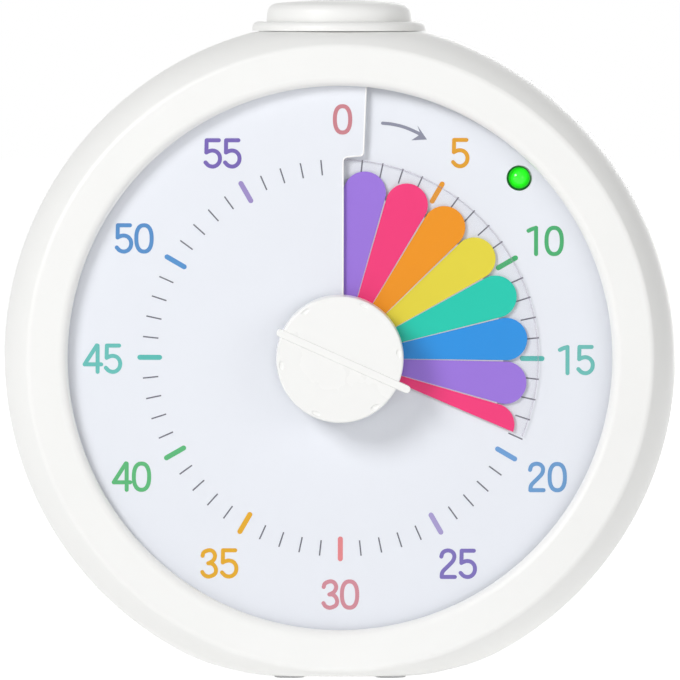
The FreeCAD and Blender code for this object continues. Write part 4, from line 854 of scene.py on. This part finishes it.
def figure(char, left, low):
    """One figure as a flat solid, its strokes joined."""
    if char == "0":
        middle = (left + OVAL_W / 2, low + HIGH / 2)
        whole = flat_prism("figure", [(middle[0] + x, middle[1] + z) for x, z in
                                      oval(OVAL_W / 2, HIGH / 2, 2.35)], INK_FRONT, INK_BACK)
        hole = flat_prism("hole", [(middle[0] + x, middle[1] + z) for x, z in
                                   oval(OVAL_W / 2 - STROKE, HIGH / 2 - STROKE, 2.35)],
                          INK_FRONT - 1, INK_BACK + 1)
        return cut_out(whole, hole)
    whole = None
    for path in FIGURES[char][1]:
        made = flat_prism("stroke", [(left + p.x, low + p.y) for p in pen(path)], INK_FRONT, INK_BACK)
        whole = made if whole is None else cut_out(whole, made, "UNION")
    return whole


for value, (colour, middle, gap) in NUMBERS.items():
    spans = [OVAL_W if c == "0" else FIGURES[c][0] for c in str(value)]
    left = middle[0] - (sum(spans) + gap) / 2
    figures = []
    for char, span in zip(str(value), spans):
        figures.append(figure(char, left, middle[1] - HIGH / 2))
        left += span + gap
    printed(joined("number_%d" % value, figures), ink("number_ink_%d" % value, colour),
            15 if value == 0 else 0)

# Arrow. A printed curved arrow from 0 towards 5, with a swept head.
arrow_line = pen([(8.85, 48.75), (10.8, 48.55), (13.3, 47.95), (15.7, 46.95), (16.9, 46.3)], 0.67)
arrow_head = [(18.05, 45.36), (14.8, 45.2), (16.25, 46.15), (16.55, 46.95), (16.05, 48.3)]
arrow = flat_prism("arrow", [tuple(p) for p in arrow_line], INK_FRONT, INK_BACK)
cut_out(arrow, flat_prism("head", arrow_head, INK_FRONT, INK_BACK), "UNION")
printed(arrow, ink("arrow_ink", (138, 140, 158)))


# Time disc. A clear film, one turn of the same screw, with petals printed in six inks. It winds
# up through the slit with the knob.
FILM_MIDDLE = 4.383
FILM_T = 0.25
FILM_LEAD = 113.3
FILM_TURN = 359.8
FILM_EDGE = (0.04096, 0.04104)
FILM_ALPHA = (0.025, 0.22)
film = screw_band("time_film_clear", 6.9, FILM_R, FILM_LEAD - FILM_TURN, FILM_LEAD, 6, 240,
                  FILM_MIDDLE - FILM_T / 2, FILM_T)


def from_axis():
    """Distance of a point of an object from the knob's axis."""
    group = bpy.data.node_groups.new("from_axis", "ShaderNodeTree")
    group.interface.new_socket("Place", in_out="INPUT", socket_type="NodeSocketVector")
    group.interface.new_socket("Reach", in_out="OUTPUT", socket_type="NodeSocketFloat")
    add, join = group.nodes.new, group.links.new
    given, made = add("NodeGroupInput"), add("NodeGroupOutput")
    flat = add("ShaderNodeVectorMath")
    flat.operation = "MULTIPLY_ADD"
    flat.inputs[1].default_value = (1, 0, 1)
    flat.inputs[2].default_value = (0, 0, -DIAL_Z)
    length = add("ShaderNodeVectorMath")
    length.operation = "LENGTH"
    join(given.outputs["Place"], flat.inputs[0])
    join(flat.outputs["Vector"], length.inputs[0])
    join(length.outputs["Value"], made.inputs["Reach"])
    return group


FROM_AXIS = from_axis()

CLEAR_FILM = skinned("clear_film", paint(176, 168, 186), size=900, depth=0.000002, cloud=0.02,
                     gloss=(0.1, 0.16))
tree = CLEAR_FILM.node_tree
place = tree.nodes.new("ShaderNodeTexCoord")
reach = tree.nodes.new("ShaderNodeGroup")
reach.node_tree = FROM_AXIS
tint = tree.nodes.new("ShaderNodeMapRange")
for socket, value in zip(("From Min", "From Max", "To Min", "To Max"), FILM_EDGE + FILM_ALPHA):
    tint.inputs[socket].default_value = value
tree.links.new(place.outputs["Object"], reach.inputs["Place"])
tree.links.new(reach.outputs["Reach"], tint.inputs["Value"])
tree.links.new(tint.outputs["Result"], tree.nodes["Principled BSDF"].inputs["Alpha"])
FILM_RIM = skinned("film_rim", paint(205, 190, 205), size=900, depth=0.000002, cloud=0.02,
                   gloss=(0.2, 0.3), Alpha=0.6)
film.data.materials.append(CLEAR_FILM)
film.data.materials.append(FILM_RIM)
for face in film.data.polygons:
    if abs(face.normal.y) < 0.5:
        face.material_index = 1
settle(film, 30)
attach(film, "time_disc")
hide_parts("time_film")

PETAL_INKS = (("purple", (163, 122, 231)), ("pink", (255, 55, 128)), ("orange", (252, 156, 0)),
              ("yellow", (241, 225, 62)), ("teal", (16, 212, 185)), ("blue", (35, 152, 237)))
PETAL_TURN = 15.0
PETAL_TIP_R = 4.41
PETAL_TIP_AT = 34.7
PETAL_START = 1.0
PETALS = range(-16, 8)
nothing_selected()
bpy.ops.mesh.primitive_circle_add(vertices=64, radius=PETAL_TIP_R, fill_type="NOTHING",
                                  rotation=(math.pi / 2, 0, 0), location=(0, 0, PETAL_TIP_AT))
petal = bpy.context.object
petal.name = "petal"
bpy.ops.object.transform_apply()
bpy.ops.object.mode_set(mode="EDIT")
bpy.ops.mesh.select_all(action="DESELECT")
bpy.ops.object.mode_set(mode="OBJECT")
for vertex in petal.data.vertices:
    vertex.select = vertex.co.z < PETAL_TIP_AT - 0.01
bpy.ops.object.mode_set(mode="EDIT")
bpy.ops.mesh.delete(type="VERT")
bpy.ops.mesh.select_all(action="SELECT")
bpy.ops.mesh.extrude_edges_move()
bpy.ops.transform.resize(value=(0.32, 0.32, 0.32), center_override=(0, 0, 0))
bpy.ops.object.mode_set(mode="OBJECT")
petals = {}
first_clock = PETAL_START + PETAL_TURN / 2
for i in PETALS:
    clock = first_clock + PETAL_TURN * i
    one = turned_to(copied(petal), clock)
    if clock + PETAL_TURN / 2 > FILM_LEAD:
        pick(one)
        bpy.ops.object.mode_set(mode="EDIT")
        bpy.ops.mesh.select_all(action="SELECT")
        across = clock_place(1, FILM_LEAD - 0.15 + 90)
        bpy.ops.mesh.bisect(plane_co=(0, 0, 0), plane_no=(across[0], 0, across[1]),
                            clear_outer=True)
        bpy.ops.object.mode_set(mode="OBJECT")
    wound(one, FILM_MIDDLE - FILM_T / 2 - 0.01, clock - 180)
    petals.setdefault(i % 6, []).append(one)
bpy.data.objects.remove(petal)
for place, (name, colour) in enumerate(PETAL_INKS):
    group = joined("petals_%s" % name, petals[place])
    pick(group)
    bpy.ops.object.mode_set(mode="EDIT")
    bpy.ops.mesh.select_all(action="SELECT")
    bpy.ops.mesh.normals_make_consistent(inside=False)
    if sum(f.normal.y for f in group.data.polygons) > 0:
        bpy.ops.mesh.flip_normals()
    bpy.ops.object.mode_set(mode="OBJECT")
    worked(group, "SOLIDIFY", thickness=0.02, offset=1)
    group.data.materials.append(skinned("petal_%s" % name, paint(*colour), size=900,
                                        depth=0.000003, cloud=0.06, gloss=(0.28, 0.36),
                                        Alpha=0.92))
    settle(group)
    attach(group, "time_disc")

# Pale lines between the petals, laid on the film before them. Their pale colour is painted light,
# standing in for the lit dial seen through the gaps.
gaps = []
for i in PETALS:
    clock = PETAL_START + PETAL_TURN * i
    line = flat_prism("line", [(0.1, 34.0), (-0.1, 34.0), (-0.05, 13.4), (0.05, 13.4)], -0.008, -0.004)
    turned_to(line, clock)
    gaps.append(wound(line, FILM_MIDDLE - FILM_T / 2, clock - 180))
gap_lines = joined("petal_gaps", gaps)
# Pale, half-clear colour of the lines: painted light in place of the lit dial between the petals.
gap_lines.data.materials.append(skinned("gap_painted_light", paint(250, 240, 250), size=900,
                                        depth=0.000002, cloud=0.03, gloss=(0.28, 0.36),
                                        Alpha=0.6))
settle(gap_lines)
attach(gap_lines, "time_disc")


# Knob. A hollow white moulding, slightly tapered, with six small soft dents round its face and
# a slot for the pointer bar.
KNOB_FACE_R = 13.1
KNOB_TAPER = 0.15
KNOB_FRONT = -6.0
KNOB_BACK = 2.0
KNOB_EDGE = 0.4
DENTS, DENT_R, DENT_SIZE = 6, 12.2, (0.95, 0.3, 0.5)
POINTER_CLOCK = 114.0
POINTER_TIP, POINTER_TAIL, POINTER_HALF = 15.1, -13.5, 0.8
POINTER_FRONT, SLOT_FLOOR = -6.08, -2.6
knob_section = [(0, KNOB_FRONT), (KNOB_FACE_R - KNOB_EDGE - 0.04, KNOB_FRONT)]
knob_section += bend((KNOB_FACE_R - KNOB_EDGE, KNOB_FRONT + KNOB_EDGE), KNOB_EDGE, 90, 0, 6)
knob_section += [(KNOB_FACE_R + KNOB_TAPER * i / 5, KNOB_FRONT + KNOB_EDGE
                  + (KNOB_BACK - KNOB_FRONT - KNOB_EDGE) * i / 5) for i in range(1, 6)]
knob_section += [(11.0, KNOB_BACK), (10.6, -0.4), (4.6, -0.4), (4.6, KNOB_BACK), (2.03, KNOB_BACK),
                 (2.03, -2.4), (0, -2.4)]
knob = turned("knob_moulding", knob_section, 180)
for i in range(DENTS):
    clock = POINTER_CLOCK + 30 + 360 / DENTS * i
    x, z = clock_place(DENT_R, clock)
    nothing_selected()
    bpy.ops.mesh.primitive_uv_sphere_add(segments=32, ring_count=16, radius=1, location=(0, 0, 0))
    dent = bpy.context.object
    dent.scale = DENT_SIZE
    dent.location = (x, KNOB_FRONT, z)
    dent.rotation_euler = (0, math.radians(clock), 0)
    bpy.ops.object.transform_apply()
    cut_out(knob, dent)


def pointer_form(name, gap, front, back):
    """Round-ended bar across the knob."""
    half = POINTER_HALF + gap
    points = []
    for end, start in ((POINTER_TIP, 0), (POINTER_TAIL, 180)):
        for i in range(17):
            angle = math.radians(start + 180 * i / 16)
            points.append((half * math.cos(angle), end + half * math.sin(angle)))
    return turned_to(flat_prism(name, points, front, back), POINTER_CLOCK)


cut_out(knob, pointer_form("slot", 0.01, -9, SLOT_FLOOR))
KNOB_WHITE = skinned("knob_white", paint(250, 250, 248), size=1800, depth=0.000004, gloss=(0.24, 0.32))
knob.data.materials.append(KNOB_WHITE)
settle(knob, 25)
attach(knob, "knob")
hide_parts("knob")

# Pointer bar. A separate glossy white bar pressed into the knob's slot, standing past its rim.
pointer = pointer_form("knob_pointer_bar", 0, POINTER_FRONT, SLOT_FLOOR)
bevelled(pointer, 0.15, 3, 50)
POINTER_WHITE = skinned("pointer_white", paint(251, 251, 249), size=1500, depth=0.000003,
                        gloss=(0.12, 0.18))
pointer.data.materials.append(POINTER_WHITE)
settle(pointer, 40)
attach(pointer, "knob")
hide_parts("knob_pointer")


# Indicator lamp. A 5 mm green lamp whose dome stands in the sheet's hole. Its lens is painted dark
# green towards its edge: painted shade cast by the wall of the hole.
LED_FRONT, LED_R, LED_BACK = 5.284, 2.5, 13.884
# Band near the lens's edge over which its colour turns to painted shade.
LENS_SHADE_RIM = (0.00206, 0.0023)
led_section = bend((0, LED_FRONT + LED_R), LED_R, 90, 0, 14)
led_section += [(LED_R, LED_BACK - 1), (2.9, LED_BACK - 1), (2.9, LED_BACK), (0, LED_BACK)]
led = turned("led_lens", led_section, 48, (lamp_at[0], 0, lamp_at[1]))
GREEN_LENS = skinned("green_lens", paint(47, 251, 41), size=400, depth=0.000002, cloud=0.05,
                     gloss=(0.1, 0.16), Emission_Strength=0.5)
tree = GREEN_LENS.node_tree
shader = tree.nodes["Principled BSDF"]
place = tree.nodes.new("ShaderNodeTexCoord")
from_lamp = tree.nodes.new("ShaderNodeVectorMath")
from_lamp.operation = "SUBTRACT"
from_lamp.inputs[1].default_value = TO_FRAME @ Vector((lamp_at[0], 0, lamp_at[1]))
across = tree.nodes.new("ShaderNodeVectorMath")
across.operation = "MULTIPLY"
across.inputs[1].default_value = (1, 0, 1)
reach = tree.nodes.new("ShaderNodeVectorMath")
reach.operation = "LENGTH"
rim = tree.nodes.new("ShaderNodeMapRange")
rim.interpolation_type = "SMOOTHSTEP"
rim.inputs["From Min"].default_value = LENS_SHADE_RIM[0]
rim.inputs["From Max"].default_value = LENS_SHADE_RIM[1]
# Lit green at the middle of the lens and dark green at its edge: painted shade from the hole's wall,
# in the lens's colour and in its glow.
body = tree.nodes.new("ShaderNodeMix")
body.data_type = "RGBA"
body.inputs["A"].default_value = paint(40, 244, 34)
body.inputs["B"].default_value = paint(12, 112, 34)
tree.links.new(place.outputs["Object"], from_lamp.inputs[0])
tree.links.new(from_lamp.outputs["Vector"], across.inputs[0])
tree.links.new(across.outputs["Vector"], reach.inputs[0])
tree.links.new(reach.outputs["Value"], rim.inputs["Value"])
tree.links.new(rim.outputs["Result"], body.inputs["Factor"])
tree.links.new(body.outputs["Result"], shader.inputs["Base Color"])
tree.links.new(body.outputs["Result"], shader.inputs["Emission Color"])
led.data.materials.append(GREEN_LENS)
settle(led, 50)
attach(led, "housing")
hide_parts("led")


# Button flange. A round-edged ring on the case's seat, with the cup that the button runs in.
FLANGE_R, FLANGE_TOP, FLANGE_ROUND = 18.4, 69.8, 1.4
MOUTH_R, CUP_IN_R, CUP_FLOOR = 15.8, 16.25, 62.0
flange_section = [(4, CUP_FLOOR), (4, CUP_FLOOR + 1.4), (CUP_IN_R, CUP_FLOOR + 1.4),
                  (CUP_IN_R, FLANGE_TOP - 2.7), (MOUTH_R, FLANGE_TOP - 2.7),
                  (MOUTH_R, FLANGE_TOP - 0.2), (MOUTH_R + 0.2, FLANGE_TOP)]
flange_section += [(FLANGE_R - FLANGE_ROUND + FLANGE_ROUND * math.sin(math.radians(a)),
                    FLANGE_TOP - FLANGE_ROUND + FLANGE_ROUND * math.cos(math.radians(a)))
                   for a in range(0, 91, 15)]
flange_section += [(FLANGE_R, SEAT_RISE + 0.05), (CUP_R, SEAT_RISE + 0.05), (CUP_R, CUP_FLOOR),
                   (4, CUP_FLOOR)]
flange = turned("button_flange_ring", flange_section, 160, (0, BUTTON_DEPTH, 0), True)
flange.data.materials.append(CASE_WHITE)
settle(flange, 40)
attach(flange, "housing")
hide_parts("button_flange")


# Button. A domed white cap with a rounded rim and a skirt inside the cup.
BUTTON_R, BUTTON_ROUND, BUTTON_SIDE_TOP, BUTTON_TOP = 15.5, 2.2, 71.4, 74.3
BUTTON_TAPER = 0.25
SKIRT_R, SKIRT_WALL, SKIRT_LOW, SKIRT_TOP = 15.95, 1.8, 64.8, 66.95
rim_z = BUTTON_SIDE_TOP + BUTTON_ROUND
rim_in = BUTTON_R - BUTTON_TAPER - BUTTON_ROUND
sag = BUTTON_TOP - rim_z
button_section = [(0, BUTTON_SIDE_TOP - 0.2), (BUTTON_R - SKIRT_WALL, BUTTON_SIDE_TOP - 0.2),
                  (BUTTON_R - SKIRT_WALL, SKIRT_LOW), (SKIRT_R, SKIRT_LOW),
                  (SKIRT_R, SKIRT_TOP), (BUTTON_R, SKIRT_TOP)]
for i in range(9):
    angle = math.radians(90 * i / 8)
    button_section.append((rim_in + BUTTON_ROUND * math.cos(angle),
                           BUTTON_SIDE_TOP + BUTTON_ROUND * math.sin(angle)))
for i in range(1, 13):
    r = rim_in * (1 - i / 12)
    button_section.append((r, rim_z + sag * (1 - (r / rim_in) ** 2)))
button = turned("button_cap_dome", button_section, 160, (0, BUTTON_DEPTH, 0), True)
button.data.materials.append(CASE_WHITE)
settle(button, 40)
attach(button, "button")
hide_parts("button_cap")


# What stays as the frame has it: pieces inside the case, each in its own finish.
BRASS = skinned("brass", paint(196, 158, 84), size=900, depth=0.000004, cloud=0.15,
                gloss=(0.2, 0.34), Metallic=1.0)
NYLON = skinned("gear_nylon", paint(238, 236, 226), size=1400, gloss=(0.34, 0.46))
BOARD = skinned("board_green", paint(28, 98, 58), size=1200, depth=0.000012, cloud=0.25,
                gloss=(0.24, 0.36))
BLACK = skinned("black_plastic", paint(34, 34, 36), size=2000, gloss=(0.36, 0.5))
FINISHES = (
    (INNER_PLASTIC, "inner_plastic", ("dial_tray", "movement_plate")),
    (BRASS, "brass", ("bearing_bush", "clutch_hub", "motor_pinion")),
    (STEEL, "steel", ("spindle", "retaining_clip", "zero_magnet", "clutch_spring", "idler_axle",
                      "gear_motor", "button_spring")),
    (NYLON, "gear_nylon", ("film_collar", "main_wheel", "idler_gear")),
    (BOARD, "board_green", ("main_board", "led_board", "switch_board", "zero_sensor")),
    (BLACK, "black_plastic", ("tact_switch", "switch_plunger", "sounder", "volume_switch",
                              "volume_slider")),
)
for finish, slot, nodes in FINISHES:
    for node in nodes:
        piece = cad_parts[node]
        piece.data.materials.clear()
        piece.data.materials.append(finish)
